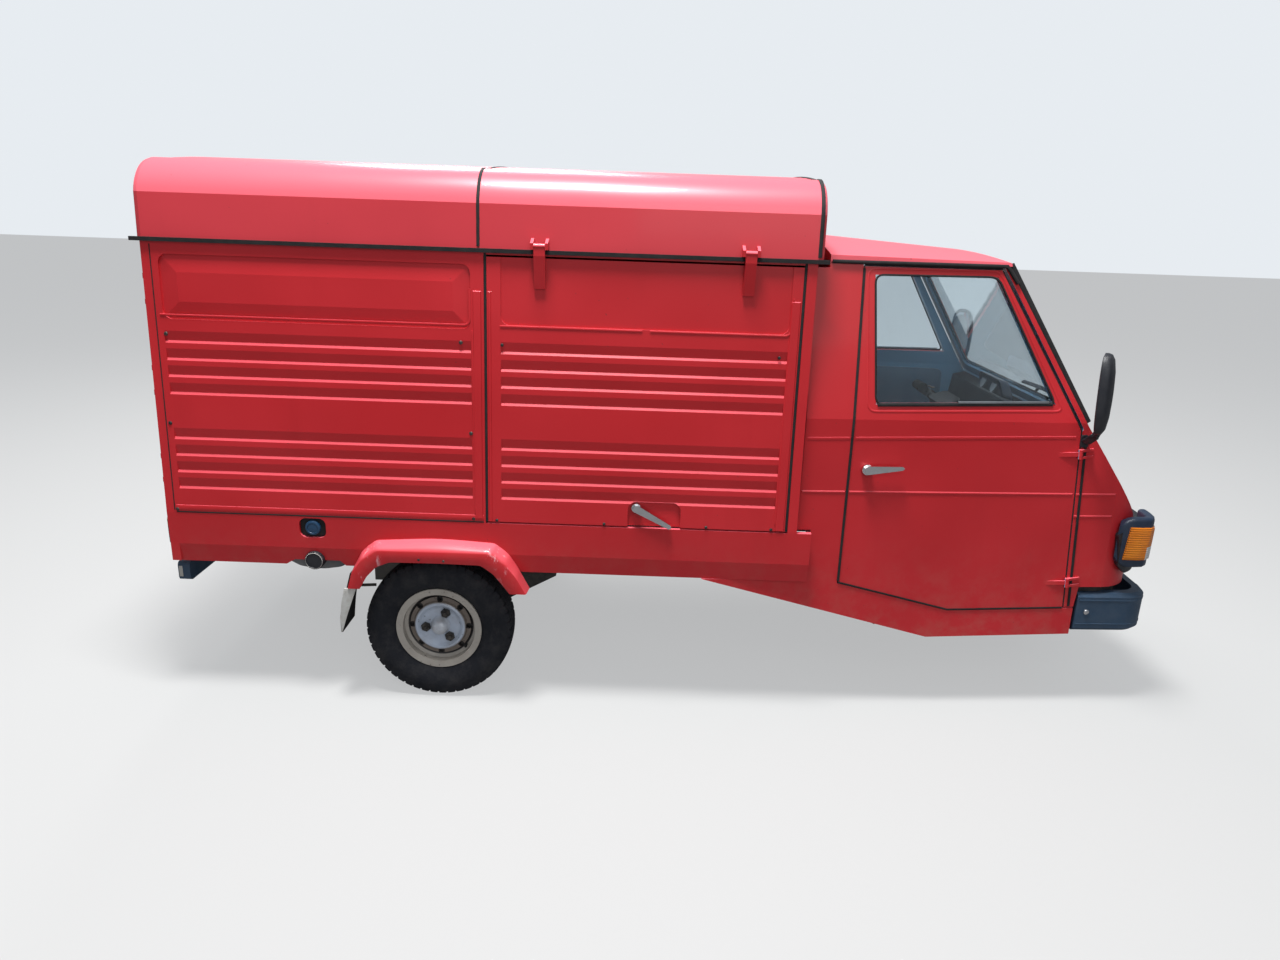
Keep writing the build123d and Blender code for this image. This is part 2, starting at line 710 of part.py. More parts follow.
# Front fork: crown, one leg on the left of the tyre, trailing link and its spring
leg_y = tyre_width / 2 + 20
leg_thick = 26
with BuildPart() as front_fork:
    with BuildSketch(steer_plane.offset(stem_foot - 26)):
        with BuildLine():
            Polyline((-30, -34), (leg_y + leg_thick, -26), (leg_y + leg_thick, 26), (-30, 34), close=True)
        make_face()
    extrude(amount=26)
    with BuildSketch(Plane.XZ.offset(-leg_y - leg_thick)):
        with BuildLine():
            crown_x = front_axle_x - axle_lead - (stem_foot - 14) * sin(radians(rake))
            crown_z = tyre_radius + (stem_foot - 14) * cos(radians(rake))
            Polyline((crown_x - 25, crown_z), (crown_x + 25, crown_z), (front_axle_x - 70, tyre_radius + 40),
                     (front_axle_x - 60, tyre_radius - 60), (front_axle_x - 100, tyre_radius - 60),
                     (front_axle_x - 110, tyre_radius + 60), close=True)
        make_face()
        with BuildLine():
            Polyline((front_axle_x - 95, tyre_radius - 58), (front_axle_x - 60, tyre_radius - 62),
                     (front_axle_x + 22, tyre_radius - 22), (front_axle_x + 24, tyre_radius + 14),
                     (front_axle_x, tyre_radius + 26), (front_axle_x - 28, tyre_radius + 10), close=True)
        make_face()
    extrude(amount=leg_thick)
    with BuildSketch(Plane.XZ.offset(-leg_y - leg_thick)):
        with Locations((front_axle_x, tyre_radius)):
            Circle(shaft_radius + running_gap)
    extrude(amount=leg_thick, mode=Mode.SUBTRACT)
front_fork.part.label = "front_fork"
export_step(front_fork.part, "parts/front_fork.step")

# Steering stem with its handlebar and grips
with BuildPart() as handlebar:
    with BuildSketch(steer_plane.offset(stem_foot)):
        Circle(stem_radius)
    extrude(amount=stem_top - stem_foot)
    with BuildSketch(steer_plane.offset(stem_top - 30)):
        RectangleRounded(190, 76, 22)
    extrude(amount=56)
    bar_plane = Plane(origin=steer_plane.offset(stem_top).origin, x_dir=(1, 0, 0), z_dir=(0, 1, 0))
    with BuildSketch(bar_plane):
        Circle(12)
    extrude(amount=handlebar_half, both=True)
    for side in (-1, 1):
        with BuildSketch(bar_plane.offset(side * (handlebar_half - 60))):
            Circle(17)
        extrude(amount=60, both=True)
handlebar.part.label = "handlebar"
export_step(handlebar.part, "parts/handlebar.step")

# Wheels: a pressed rim with a dished disc, its brake drum and the shaft that carries it
shaft_inner_y = 200
rear_shaft_end = rear_track / 2 - shaft_inner_y
vent_radius = 98
vent_count = 8
wheel_table = (
    # name, centre x, centre y, outward sign, shaft end measured inwards from the wheel centre
    ("rear_wheel_right", rear_axle_x, -rear_track / 2, -1, rear_shaft_end),
    ("rear_wheel_left", rear_axle_x, rear_track / 2, 1, rear_shaft_end),
    ("front_wheel", front_axle_x, 0, -1, leg_y + leg_thick + 12),
)
tyre_names = ("rear_tyre_right", "rear_tyre_left", "front_tyre")
for (name, x, y, out, shaft_end), tyre_name in zip(wheel_table, tyre_names):
    section = Plane(origin=(x, y, tyre_radius), x_dir=(0, out, 0), z_dir=(out, 0, 0))
    spin_axis = Axis((x, y, tyre_radius), (0, 1, 0))
    face = Plane(origin=(x, y, tyre_radius), x_dir=(1, 0, 0), z_dir=(0, out, 0))
    half_rim = rim_width / 2
    well = rim_seat_radius - 14
    with BuildPart() as wheel:
        with BuildSketch(section):
            with BuildLine():
                Polyline(
                    (-half_rim, rim_flange_radius), (-half_rim + 6, rim_flange_radius),
                    (-half_rim + 8, rim_seat_radius), (-18, rim_seat_radius), (-12, well), (12, well),
                    (18, rim_seat_radius), (half_rim - 8, rim_seat_radius),
                    (half_rim - 6, rim_flange_radius), (half_rim, rim_flange_radius),
                    (half_rim - 2, rim_seat_radius - 5), (21, rim_seat_radius - 5), (15, well - 5),
                    (14, well - 7), (20, well - 10), (21, 91), (30, 86), (33, 81), (32, 76), (23, 66),
                    (21, 60), (21, 30), (30, 26), (38, 14), (40, 0),
                    (-30, 0), (-30, drum_radius), (8, drum_radius), (9, well - 5), (-15, well - 5),
                    (-21, rim_seat_radius - 5), (-half_rim + 2, rim_seat_radius - 5), close=True,
                )
            make_face()
        revolve(axis=spin_axis)
        with BuildSketch(face.offset(10)):
            with PolarLocations(vent_radius, vent_count):
                Circle(8.5)
        extrude(amount=30, mode=Mode.SUBTRACT)
        with BuildSketch(face.offset(-shaft_end)):
            Circle(shaft_radius)
        extrude(amount=shaft_end - 20)
    wheel.part.label = name
    export_step(wheel.part, f"parts/{name}.step")
    with BuildPart() as tyre:
        with BuildSketch(section):
            half_tyre = tyre_width / 2
            bead = half_rim - 8
            with BuildLine():
                Line((-bead, rim_seat_radius), (bead, rim_seat_radius))
                Line((bead, rim_seat_radius), (half_rim - 6, rim_flange_radius))
                ThreePointArc((half_rim - 6, rim_flange_radius), (half_tyre, 190), (half_tyre - 8, 228))
                Line((half_tyre - 8, 228), (half_tyre - 18, tyre_radius - 4))
                ThreePointArc((half_tyre - 18, tyre_radius - 4), (0, tyre_radius),
                              (18 - half_tyre, tyre_radius - 4))
                Line((18 - half_tyre, tyre_radius - 4), (8 - half_tyre, 228))
                ThreePointArc((8 - half_tyre, 228), (-half_tyre, 190), (6 - half_rim, rim_flange_radius))
                Line((6 - half_rim, rim_flange_radius), (-bead, rim_seat_radius))
            make_face()
        revolve(axis=spin_axis)
    tyre.part.label = tyre_name
    export_step(tyre.part, f"parts/{tyre_name}.step")

# Chassis: two rails that drop under the cab floor, and the cross members that join them
rail_y = 260
rail_width = 50
rail_out_y = rail_y + rail_width / 2
rail_top_z = box_low_z - box_floor_thick - bearer_height
rail_low_z = rail_top_z - 76
rail_drop_z = floor_z - floor_thick - 54
chassis_rear_x = box_rear_x + 45
rail_outline = [
    (chassis_rear_x, rail_low_z),
    (chassis_rear_x, rail_top_z),
    (seat_riser_x, rail_top_z),
    (seat_riser_x, floor_z - floor_thick),
    (arch_rear_x - arch_wall, floor_z - floor_thick),
    (arch_rear_x - arch_wall, rail_drop_z),
    (seat_riser_x - 40, rail_drop_z),
    (seat_riser_x - 90, rail_low_z),
]
with BuildPart() as chassis_rails:
    with BuildSketch(Plane.XZ.offset(rail_y - rail_width / 2)):
        with BuildLine():
            Polyline(*rail_outline, close=True)
        make_face()
    extrude(amount=rail_width)
    mirror(about=Plane.XZ)
chassis_rails.part.label = "chassis_rails"
export_step(chassis_rails.part, "parts/chassis_rails.step")

arm_pivot = (rear_axle_x + 356, rail_low_z - 75)
member_table = (
    # centre x, height above the rail's underside, half width inside the rails, reach outside them
    (chassis_rear_x + 25, 12, True, True),
    (rear_axle_x - 329, 12, True, False),
    (rear_axle_x - 234, 20, False, True),
    (rear_axle_x + 60, 20, False, True),
    (rear_axle_x + 356, 12, True, False),
    (rear_axle_x + 836, 12, True, True),
    (cab_rear_x + 32, 12, True, False),
)
outrigger_reach = rear_track / 2 - wheel_inset - rail_out_y
with BuildPart() as chassis_members:
    for x, rise, crosses, reaches in member_table:
        with BuildSketch(Plane.XY.offset(rail_low_z + rise)):
            if crosses:
                with Locations((x, 0)):
                    Rectangle(50, 2 * rail_y - rail_width)
            if reaches:
                for side in (-1, 1):
                    with Locations((x, side * (rail_out_y + outrigger_reach / 2))):
                        Rectangle(50, outrigger_reach)
        extrude(amount=rail_top_z - rail_low_z - rise)
    for side in (-1, 1):
        with BuildSketch(Plane.XZ.offset(side * rail_y - 20)):
            with BuildLine():
                Polyline((arm_pivot[0] - 50, rail_low_z), (arm_pivot[0] + 50, rail_low_z),
                         (arm_pivot[0] + 25, arm_pivot[1] - 25),
                         (arm_pivot[0] - 25, arm_pivot[1] - 25), close=True)
            make_face()
        extrude(amount=40)
chassis_members.part.label = "chassis_members"
export_step(chassis_members.part, "parts/chassis_members.step")

# Rear suspension: trailing arms from a pivot tube to the wheel shafts, springs above them
arm_hub_y = rear_track / 2 - 75
arm_hub_thick = 34
arm_inner_y = rail_y + 20
spring_y = arm_hub_y - arm_hub_thick - 91
spring_x = rear_axle_x + 60
with BuildPart() as trailing_arms:
    with BuildSketch(Plane.XZ.offset(arm_hub_y - arm_hub_thick)):
        with BuildLine():
            Polyline((arm_pivot[0] + 26, arm_pivot[1] - 24), (arm_pivot[0] + 26, arm_pivot[1] + 20),
                     (arm_pivot[0] - 20, arm_pivot[1] + 28), (rear_axle_x + 50, tyre_radius + 60),
                     (rear_axle_x - 30, tyre_radius + 44), (rear_axle_x - 44, tyre_radius),
                     (rear_axle_x - 26, tyre_radius - 40), (rear_axle_x + 30, tyre_radius - 36),
                     (rear_axle_x + 110, tyre_radius + 4), close=True)
        make_face()
    extrude(amount=arm_hub_thick)
    with BuildSketch(Plane.XZ.offset(arm_inner_y)):
        with Locations(arm_pivot):
            Circle(24)
    extrude(amount=arm_hub_y - arm_inner_y)
    with BuildSketch(Plane.XZ.offset(arm_hub_y - arm_hub_thick - 125)):
        with BuildLine():
            Polyline((spring_x - 45, tyre_radius + 46), (spring_x + 45, tyre_radius + 66),
                     (spring_x + 45, tyre_radius + 78), (spring_x - 45, tyre_radius + 78), close=True)
        make_face()
    extrude(amount=125)
    with BuildSketch(Plane.XZ.offset(arm_hub_y - arm_hub_thick)):
        with Locations((rear_axle_x, tyre_radius)):
            Circle(shaft_radius + running_gap)
    extrude(amount=arm_hub_thick, mode=Mode.SUBTRACT)
    mirror(about=Plane.XZ)
trailing_arms.part.label = "trailing_arms"
export_step(trailing_arms.part, "parts/trailing_arms.step")

spring_low_z = tyre_radius + 78
spring_high_z = rail_low_z + 20
spring_turns = 6
with BuildPart() as suspension_springs:
    with BuildSketch(Plane.XZ.offset(spring_y)):
        with BuildLine():
            pitch = (spring_high_z - spring_low_z) / spring_turns
            Polyline((spring_x, spring_low_z), (spring_x + 30, spring_low_z))
            for turn in range(spring_turns):
                z = spring_low_z + turn * pitch
                ThreePointArc((spring_x + 30, z), (spring_x + 38, z + pitch / 2), (spring_x + 30, z + pitch))
            Polyline((spring_x + 30, spring_high_z), (spring_x, spring_high_z), (spring_x, spring_low_z))
        make_face()
    revolve(axis=Axis((spring_x, -spring_y, 0), (0, 0, 1)))
    mirror(about=Plane.XZ)
suspension_springs.part.label = "suspension_springs"
export_step(suspension_springs.part, "parts/suspension_springs.step")

# Engine and gearbox as one plain block between the rails, fuel tank and silencer
engine_low_z = 205
engine_length = 460
engine_width = 384
engine_x = rear_axle_x - 129
with BuildPart() as engine_block:
    with BuildSketch(Plane.XY.offset(engine_low_z)):
        with Locations((engine_x, 0)):
            Rectangle(engine_length, engine_width)
    extrude(amount=rail_low_z + 12 - engine_low_z)
engine_block.part.label = "engine_block"
export_step(engine_block.part, "parts/engine_block.step")

tank_x = rear_axle_x - 465
tank_length = 318
tank_height = 146
tank_start_y = rail_out_y + 30
with BuildPart() as fuel_tank:
    with BuildSketch(Plane.XZ.offset(tank_start_y)):
        with Locations((tank_x, rail_top_z - tank_height / 2)):
            RectangleRounded(tank_length, tank_height, 30)
    extrude(amount=box_half_low - 40 - tank_start_y)
fuel_tank.part.label = "fuel_tank"
export_step(fuel_tank.part, "parts/fuel_tank.step")

silencer_z = 360
silencer_x = box_rear_x + 100
silencer_length = 330
engine_rear_x = engine_x - engine_length / 2
pipe_skin = 3
with BuildPart() as exhaust:
    with BuildSketch(Plane.YZ.offset(silencer_x)):
        with Locations((150, silencer_z)):
            Ellipse(70, 55)
    extrude(amount=silencer_length)
    with BuildSketch(Plane.YZ.offset(silencer_x + silencer_length)):
        with Locations((120, silencer_z)):
            Circle(20)
    extrude(amount=engine_rear_x - silencer_x - silencer_length)
    with BuildSketch(Plane.YZ.offset(box_rear_x)):
        with Locations((180, silencer_z - 15)):
            Circle(18)
            Circle(18 - pipe_skin, mode=Mode.SUBTRACT)
    extrude(amount=silencer_x - box_rear_x)
exhaust.part.label = "exhaust"
export_step(exhaust.part, "parts/exhaust.step")

# Load floor, and the bearers that carry it over the rails
floor_front_x = box_front_x - box_wall
floor_half = box_half_low - box_wall - 0.8
bearer_width = 44
with BuildPart() as box_floor:
    with BuildSketch(Plane.XY.offset(box_low_z - box_floor_thick)):
        with Locations(((box_rear_x + box_wall + floor_front_x) / 2, 0)):
            Rectangle(floor_front_x - box_rear_x - box_wall, 2 * floor_half)
    extrude(amount=box_floor_thick)
box_floor.part.label = "box_floor"
export_step(box_floor.part, "parts/box_floor.step")

bearer_count = 6
bearer_start_x = box_rear_x + 80
bearer_pitch = (box_front_x - 57 - bearer_start_x) / (bearer_count - 1)
with BuildPart() as floor_bearers:
    with BuildSketch(Plane.XY.offset(rail_top_z)):
        for index in range(bearer_count):
            with Locations((bearer_start_x + index * bearer_pitch, 0)):
                Rectangle(bearer_width, 2 * floor_half)
    extrude(amount=bearer_height)
floor_bearers.part.label = "floor_bearers"
export_step(floor_bearers.part, "parts/floor_bearers.step")

# Side walls: pressed panels with grooves, a window blank above them and raised bands beside the seams
groove_rows = (1.56, 2.55, 3.55, 4.55, 7.2, 8.2, 9.17, 10.17)
blank_low = 11.45 * groove_pitch
blank_high = 15.04 * groove_pitch
blank_slope = 48
blank_corner = 28
recess_low = 11.75 * groove_pitch
recess_depth_flap = 4
rear_panel_x = (box_rear_x + 49, panel_seam_x - 45)
front_panel_x = (panel_seam_x + 47, flap_front_x - 37)
rear_band_x = (panel_seam_x - 38, panel_seam_x - 12)
front_bead_x = (panel_seam_x + 8, panel_seam_x + 18)
front_band_x = (flap_front_x - 36, flap_front_x - 8)
band_top = 13.6 * groove_pitch


def groove_form(plane, low_x, high_x):
    """The pressed grooves of a panel as prisms: a long upper slope and a short step under it."""
    end = Plane(origin=plane.origin + plane.x_dir * low_x, x_dir=plane.y_dir, z_dir=plane.x_dir)
    with BuildPart() as grooves:
        with BuildSketch(end):
            for row in groove_rows:
                line = row * groove_pitch
                with BuildLine():
                    Polyline((line - 5, 1), (line + 4, -groove_depth), (line + 39, 1), close=True)
                make_face()
        extrude(amount=high_x - low_x)
    return grooves.part


def blank_form(plane, low_x, high_x, low, high):
    """A rounded recess less the pillow inside it, to be cut from a panel."""
    middle = ((low_x + high_x) / 2, (low + high) / 2)
    length = high_x - low_x
    height = high - low
    with BuildPart() as blank:
        with BuildSketch(plane):
            with Locations(middle):
                RectangleRounded(length, height, blank_corner)
        extrude(amount=-recess_depth)
        with BuildPart(mode=Mode.PRIVATE) as pillow:
            with BuildSketch(plane.offset(-recess_depth)):
                with Locations(middle):
                    Rectangle(length - 10, height - 10)
            with BuildSketch(plane.offset(-0.5)):
                with Locations(middle):
                    Rectangle(length - 10 - 2 * blank_slope, height - 10 - 2 * blank_slope)
            loft(ruled=True)
        add(pillow.part, mode=Mode.SUBTRACT)
    return blank.part


def add_band(plane, band_x, low, high):
    """A raised flat band on a panel's outer face, between two heights."""
    with BuildSketch(plane) as band:
        with Locations(((band_x[0] + band_x[1]) / 2, (low + high) / 2)):
            Rectangle(band_x[1] - band_x[0], high - low)
    extrude(band.sketch, amount=band_height, taper=35)


wall_outline = [
    (box_rear_x + box_wall, 0),
    (box_front_x, 0),
    (box_front_x, side_height),
    (box_rear_x + box_wall, side_height),
]
flap_low = seam + 1
flap_top = side_height - 18
flap_opening = [
    (panel_seam_x - flap_seam / 2, -10),
    (flap_front_x + flap_seam / 2, -10),
    (flap_front_x + flap_seam / 2, flap_top + seam + 1),
    (panel_seam_x - flap_seam / 2, flap_top + seam + 1),
]
with BuildPart() as left_wall_mould:
    with BuildSketch(right_side):
        with BuildLine():
            Polyline(*wall_outline, close=True)
        make_face()
    extrude(amount=-box_wall)
    for panel_x in (rear_panel_x, front_panel_x):
        add(groove_form(right_side, *panel_x), mode=Mode.SUBTRACT)
        add(blank_form(right_side, *panel_x, blank_low, blank_high), mode=Mode.SUBTRACT)
    for band_x in (rear_band_x, front_bead_x, front_band_x):
        add_band(right_side, band_x, flap_low + 8, band_top)
    split(bisect_by=Plane.XY.offset(box_low_z), keep=Keep.TOP)
with BuildPart() as box_left_wall:
    mirror(left_wall_mould.part, about=Plane.XZ)
box_left_wall.part.label = "box_left_wall"
export_step(box_left_wall.part, "parts/box_left_wall.step")

with BuildPart() as box_right_wall:
    with BuildSketch(right_side):
        with BuildLine():
            Polyline(*wall_outline, close=True)
        make_face()
        with BuildLine():
            Polyline(*flap_opening, close=True)
        make_face(mode=Mode.SUBTRACT)
    extrude(amount=-box_wall)
    add(groove_form(right_side, *rear_panel_x), mode=Mode.SUBTRACT)
    add(blank_form(right_side, *rear_panel_x, blank_low, blank_high), mode=Mode.SUBTRACT)
    add_band(right_side, rear_band_x, flap_low + 8, band_top)
    split(bisect_by=Plane.XY.offset(box_low_z), keep=Keep.TOP)
box_right_wall.part.label = "box_right_wall"
export_step(box_right_wall.part, "parts/box_right_wall.step")

# Side flap: top hinged on two long straps that reach over the gutter to ears on the roof
flap_hinge_y = box_half_top + gutter_reach + 10
flap_hinge_z = box_top_z + 18
flap_middle_x = flap_front_x - flap_length / 2
strap_places = (flap_middle_x - 317, flap_middle_x + 314)
strap_width = 34
strap_foot_z = box_top_z - 107
strap_bend_z = box_top_z - 20
pocket_x = (flap_middle_x - 30, flap_middle_x + 140)
pocket_top = 87
pocket_depth = 12
with BuildPart() as side_flap:
    with BuildSketch(right_side):
        with BuildLine():
            Polyline((panel_seam_x + flap_seam / 2, flap_low), (flap_front_x - flap_seam / 2, flap_low),
                     (flap_front_x - flap_seam / 2, flap_top),
                     (panel_seam_x + flap_seam / 2, flap_top), close=True)
        make_face()
    extrude(amount=-flap_thick)
    add(groove_form(right_side, *front_panel_x), mode=Mode.SUBTRACT)
    with BuildSketch(right_side):
        with Locations((sum(front_panel_x) / 2, (recess_low + side_height + 60) / 2)):
            RectangleRounded(front_panel_x[1] - front_panel_x[0],
                             side_height + 60 - recess_low, blank_corner)
    extrude(amount=-recess_depth_flap, mode=Mode.SUBTRACT)
    with BuildSketch(right_side):
        with Locations((sum(pocket_x) / 2, pocket_top / 2 - 20)):
            RectangleRounded(pocket_x[1] - pocket_x[0], pocket_top + 40, 26)
    extrude(amount=-pocket_depth, mode=Mode.SUBTRACT)
    for band_x in (front_bead_x, front_band_x):
        add_band(right_side, band_x, flap_low, band_top)
    for x in strap_places:
        with BuildSketch(Plane.YZ.offset(x - strap_width / 2)):
            with BuildLine():
                Polyline((-box_side(strap_foot_z) + 7, strap_foot_z),
                         (-box_side(strap_bend_z) + 7, strap_bend_z),
                         (-box_half_top - 6, strap_bend_z + 8), (-flap_hinge_y + 5, box_top_z - 8),
                         (-flap_hinge_y + 5, flap_hinge_z), (-flap_hinge_y - 6, flap_hinge_z),
                         (-flap_hinge_y - 6, strap_bend_z + 10), (-box_side(strap_foot_z) - 6, strap_foot_z),
                         close=True)
            make_face()
            with Locations((-flap_hinge_y, flap_hinge_z)):
                Circle(8)
        extrude(amount=strap_width)
side_flap.part.label = "side_flap"
export_step(side_flap.part, "parts/side_flap.step")

flap_lever_start = (flap_middle_x - 3, 68)
flap_lever_end = (flap_middle_x + 106, 10)
flap_boss = 15
with BuildPart() as flap_handle:
    with BuildSketch(right_side.offset(-pocket_depth)):
        with Locations(flap_lever_start):
            Circle(flap_boss)
    extrude(amount=pocket_depth + 4)
    with BuildSketch(right_side.offset(4)):
        with BuildLine():
            Polyline(*lever_points(flap_lever_start, flap_lever_end, 12, 7), close=True)
        make_face()
    extrude(amount=10)
flap_handle.part.label = "flap_handle"
export_step(flap_handle.part, "parts/flap_handle.step")

# Front wall of the load box
with BuildPart() as box_front_wall:
    with BuildSketch(Plane.YZ.offset(floor_front_x)):
        with BuildLine():
            low = box_half_low - box_wall - 1
            high = box_half_top - box_wall - 1
            Polyline((-low, rail_top_z), (low, rail_top_z), (low, box_low_z), (high, box_top_z),
                     (-high, box_top_z), (-low, box_low_z), close=True)
        make_face()
    extrude(amount=box_wall)
box_front_wall.part.label = "box_front_wall"
export_step(box_front_wall.part, "parts/box_front_wall.step")

# Rear frame round the two rear doors, with the lower panel that carries lamps and plate
door_border = 42
rear_sill_z = box_low_z + 25
rear_head_z = box_top_z - 30
rear_hinge_out = 9
rear_hinge_half = 30
rear_lug_height = 16
rear_hinge_heights = (rear_sill_z + 118, (rear_sill_z + rear_head_z) / 2, rear_head_z - 120)
plate_z = skirt_low_z + 93
plate_bolts = (360, 60)
rear_opening = [
    (-box_side(rear_sill_z) + door_border, rear_sill_z),
    (box_side(rear_sill_z) - door_border, rear_sill_z),
    (box_side(rear_head_z) - door_border, rear_head_z),
    (-box_side(rear_head_z) + door_border, rear_head_z),
]
rear_outline = [
    (-box_half_low, skirt_low_z + 3),
    (box_half_low, skirt_low_z + 3),
    (box_half_low, box_low_z),
    (box_half_top, box_top_z),
    (-box_half_top, box_top_z),
    (-box_half_low, box_low_z),
]


def rear_hinge_point(z):
    """A point on the right rear door's hinge axis at a height."""
    return Vector(box_rear_x - rear_hinge_out, -box_side(z) + door_border + seam / 2, z)


rear_hinge_foot = rear_hinge_point(rear_hinge_heights[0])
rear_hinge_way = (rear_hinge_point(rear_hinge_heights[-1]) - rear_hinge_foot).normalized()


def rear_hinge_plane(z, rise):
    """A plane square to the rear hinge axis, raised along it from a height."""
    return Plane(origin=rear_hinge_point(z) + rear_hinge_way * rise, x_dir=(1, 0, 0), z_dir=rear_hinge_way)


with BuildPart() as rear_frame_plate:
    with BuildSketch(Plane.YZ.offset(box_rear_x)):
        with BuildLine():
            Polyline(*rear_outline, close=True)
        make_face()
        with BuildLine():
            Polyline(*rear_opening, close=True)
        make_face(mode=Mode.SUBTRACT)
        with Locations((0, plate_z)):
            with GridLocations(*plate_bolts, 2, 2):
                Circle(3, mode=Mode.SUBTRACT)
    extrude(amount=box_wall)
with BuildPart() as rear_lugs:
    for z in rear_hinge_heights:
        for rise in (-rear_hinge_half - lug_gap - rear_lug_height, rear_hinge_half + lug_gap):
            with BuildSketch(rear_hinge_plane(z, rise)):
                with BuildLine():
                    Polyline((4, -38), (10, -38), (10, -5), (2, 0), (-5, 0), close=True)
                make_face()
                Circle(hinge_barrel)
            extrude(amount=rear_lug_height)
    mirror(about=Plane.XZ)
with BuildPart() as box_rear_frame:
    add(rear_frame_plate.part)
    add(rear_lugs.part)
box_rear_frame.part.label = "box_rear_frame"
export_step(box_rear_frame.part, "parts/box_rear_frame.step")

# Rear doors: two pressed leaves hinged at their outer edges
leaf_thick = 24
leaf_low_z = rear_sill_z + seam
leaf_high_z = rear_head_z - seam
leaf_edge = door_border + seam
leaf_outline = [
    (-box_side(leaf_low_z) + leaf_edge, leaf_low_z),
    (-seam / 2, leaf_low_z),
    (-seam / 2, leaf_high_z),
    (-box_side(leaf_high_z) + leaf_edge, leaf_high_z),
]
rear_face = Plane(origin=(box_rear_x, 0, box_low_z), x_dir=(0, -1, 0), z_dir=(-1, 0, 0))
leaf_panel_x = (60, box_side(leaf_high_z) - leaf_edge - 50)
with BuildPart() as rear_door_right:
    with BuildSketch(Plane.YZ.offset(box_rear_x)):
        with BuildLine():
            Polyline(*leaf_outline, close=True)
        make_face()
    extrude(amount=leaf_thick)
    add(groove_form(rear_face, *leaf_panel_x), mode=Mode.SUBTRACT)
    add(blank_form(rear_face, *leaf_panel_x, blank_low, blank_high - 20), mode=Mode.SUBTRACT)
    for z in rear_hinge_heights:
        with BuildSketch(rear_hinge_plane(z, -rear_hinge_half)):
            with BuildLine():
                Polyline((4, 50), (10, 50), (10, 8), (2, 0), (-5, 0), close=True)
            make_face()
            Circle(hinge_barrel)
        extrude(amount=2 * rear_hinge_half)
rear_door_right.part.label = "rear_door_right"
export_step(rear_door_right.part, "parts/rear_door_right.step")
with BuildPart() as rear_door_left:
    mirror(rear_door_right.part, about=Plane.XZ)
rear_door_left.part.label = "rear_door_left"
export_step(rear_door_left.part, "parts/rear_door_left.step")

rear_handle_at = (-34, box_low_z + 343)
with BuildPart() as rear_door_handle:
    with BuildSketch(Plane.YZ.offset(box_rear_x)):
        with Locations(rear_handle_at):
            Circle(13)
    extrude(amount=-12)
    with BuildSketch(Plane.YZ.offset(box_rear_x - 12)):
        with Locations(rear_handle_at):
            RectangleRounded(22, 120, 10)
    extrude(amount=-10)
rear_door_handle.part.label = "rear_door_handle"
export_step(rear_door_handle.part, "parts/rear_door_handle.step")

# Roof of the load box: an arched shell with rounded ends, in two sections
roof_rear_x = box_rear_x - roof_overhang
roof_front_x = box_front_x + roof_overhang + 6
roof_length = roof_front_x - roof_rear_x
roof_joint_x = panel_seam_x - 21
roof_half = box_half_top - 9


def roof_face(inset):
    """Section of the roof: upright sides, round shoulders and a low crown, moved inwards by the inset."""
    low_half = box_half_top - inset
    wide = (roof_half - inset, roof_shoulder_z)
    bend = (roof_half - 40 - 0.72 * inset, roof_shoulder_z + 70 - 0.69 * inset)
    high = (roof_half - 150 - 0.2 * inset, roof_shoulder_z + 99 - inset)
    with BuildSketch() as section:
        with BuildLine():
            Polyline((-wide[0], wide[1]), (-low_half, box_top_z), (low_half, box_top_z), wide)
            ThreePointArc(wide, bend, high)
            ThreePointArc(high, (0, roof_crown_z - inset), (-high[0], high[1]))
            ThreePointArc((-high[0], high[1]), (-bend[0], bend[1]), (-wide[0], wide[1]))
        make_face()
    return section.sketch


roof_stations = [
    (0, 0.5 * roof_end_round),
    (0.2 * roof_end_round, 0.2 * roof_end_round),
    (0.7 * roof_end_round, 0),
    (roof_length - 0.7 * roof_end_round, 0),
    (roof_length - 0.2 * roof_end_round, 0.2 * roof_end_round),
    (roof_length, 0.5 * roof_end_round),
]
with BuildPart() as box_roof:
    for (near_x, near_inset), (far_x, far_inset) in zip(roof_stations, roof_stations[1:]):
        with BuildSketch(Plane.YZ.offset(roof_rear_x + near_x)):
            add(roof_face(near_inset))
        with BuildSketch(Plane.YZ.offset(roof_rear_x + far_x)):
            add(roof_face(far_inset))
        loft(ruled=True)
    with BuildSketch(Plane.YZ.offset(roof_rear_x + roof_skin)):
        add(roof_face(roof_skin))
    extrude(amount=roof_length - 2 * roof_skin, mode=Mode.SUBTRACT)
    with BuildSketch(Plane.YZ.offset(roof_joint_x)):
        with Locations((0, roof_shoulder_z)):
            Rectangle(3 * box_half_top, 400)
    extrude(amount=2, mode=Mode.SUBTRACT)
box_roof.part.label = "box_roof"
export_step(box_roof.part, "parts/box_roof.step")

# Gutter strips along the roof's lower edges, with the hinge ears of the flap above the right one
with BuildPart() as roof_gutters:
    with BuildSketch(Plane.YZ.offset(roof_rear_x - gutter_overhang)):
        with Locations((-box_half_top - running_gap - gutter_reach / 2, box_top_z)):
            Rectangle(gutter_reach, gutter_height)
    extrude(amount=roof_front_x - roof_rear_x + 2 * gutter_overhang)
    mirror(about=Plane.XZ)
roof_gutters.part.label = "roof_gutters"
export_step(roof_gutters.part, "parts/roof_gutters.step")

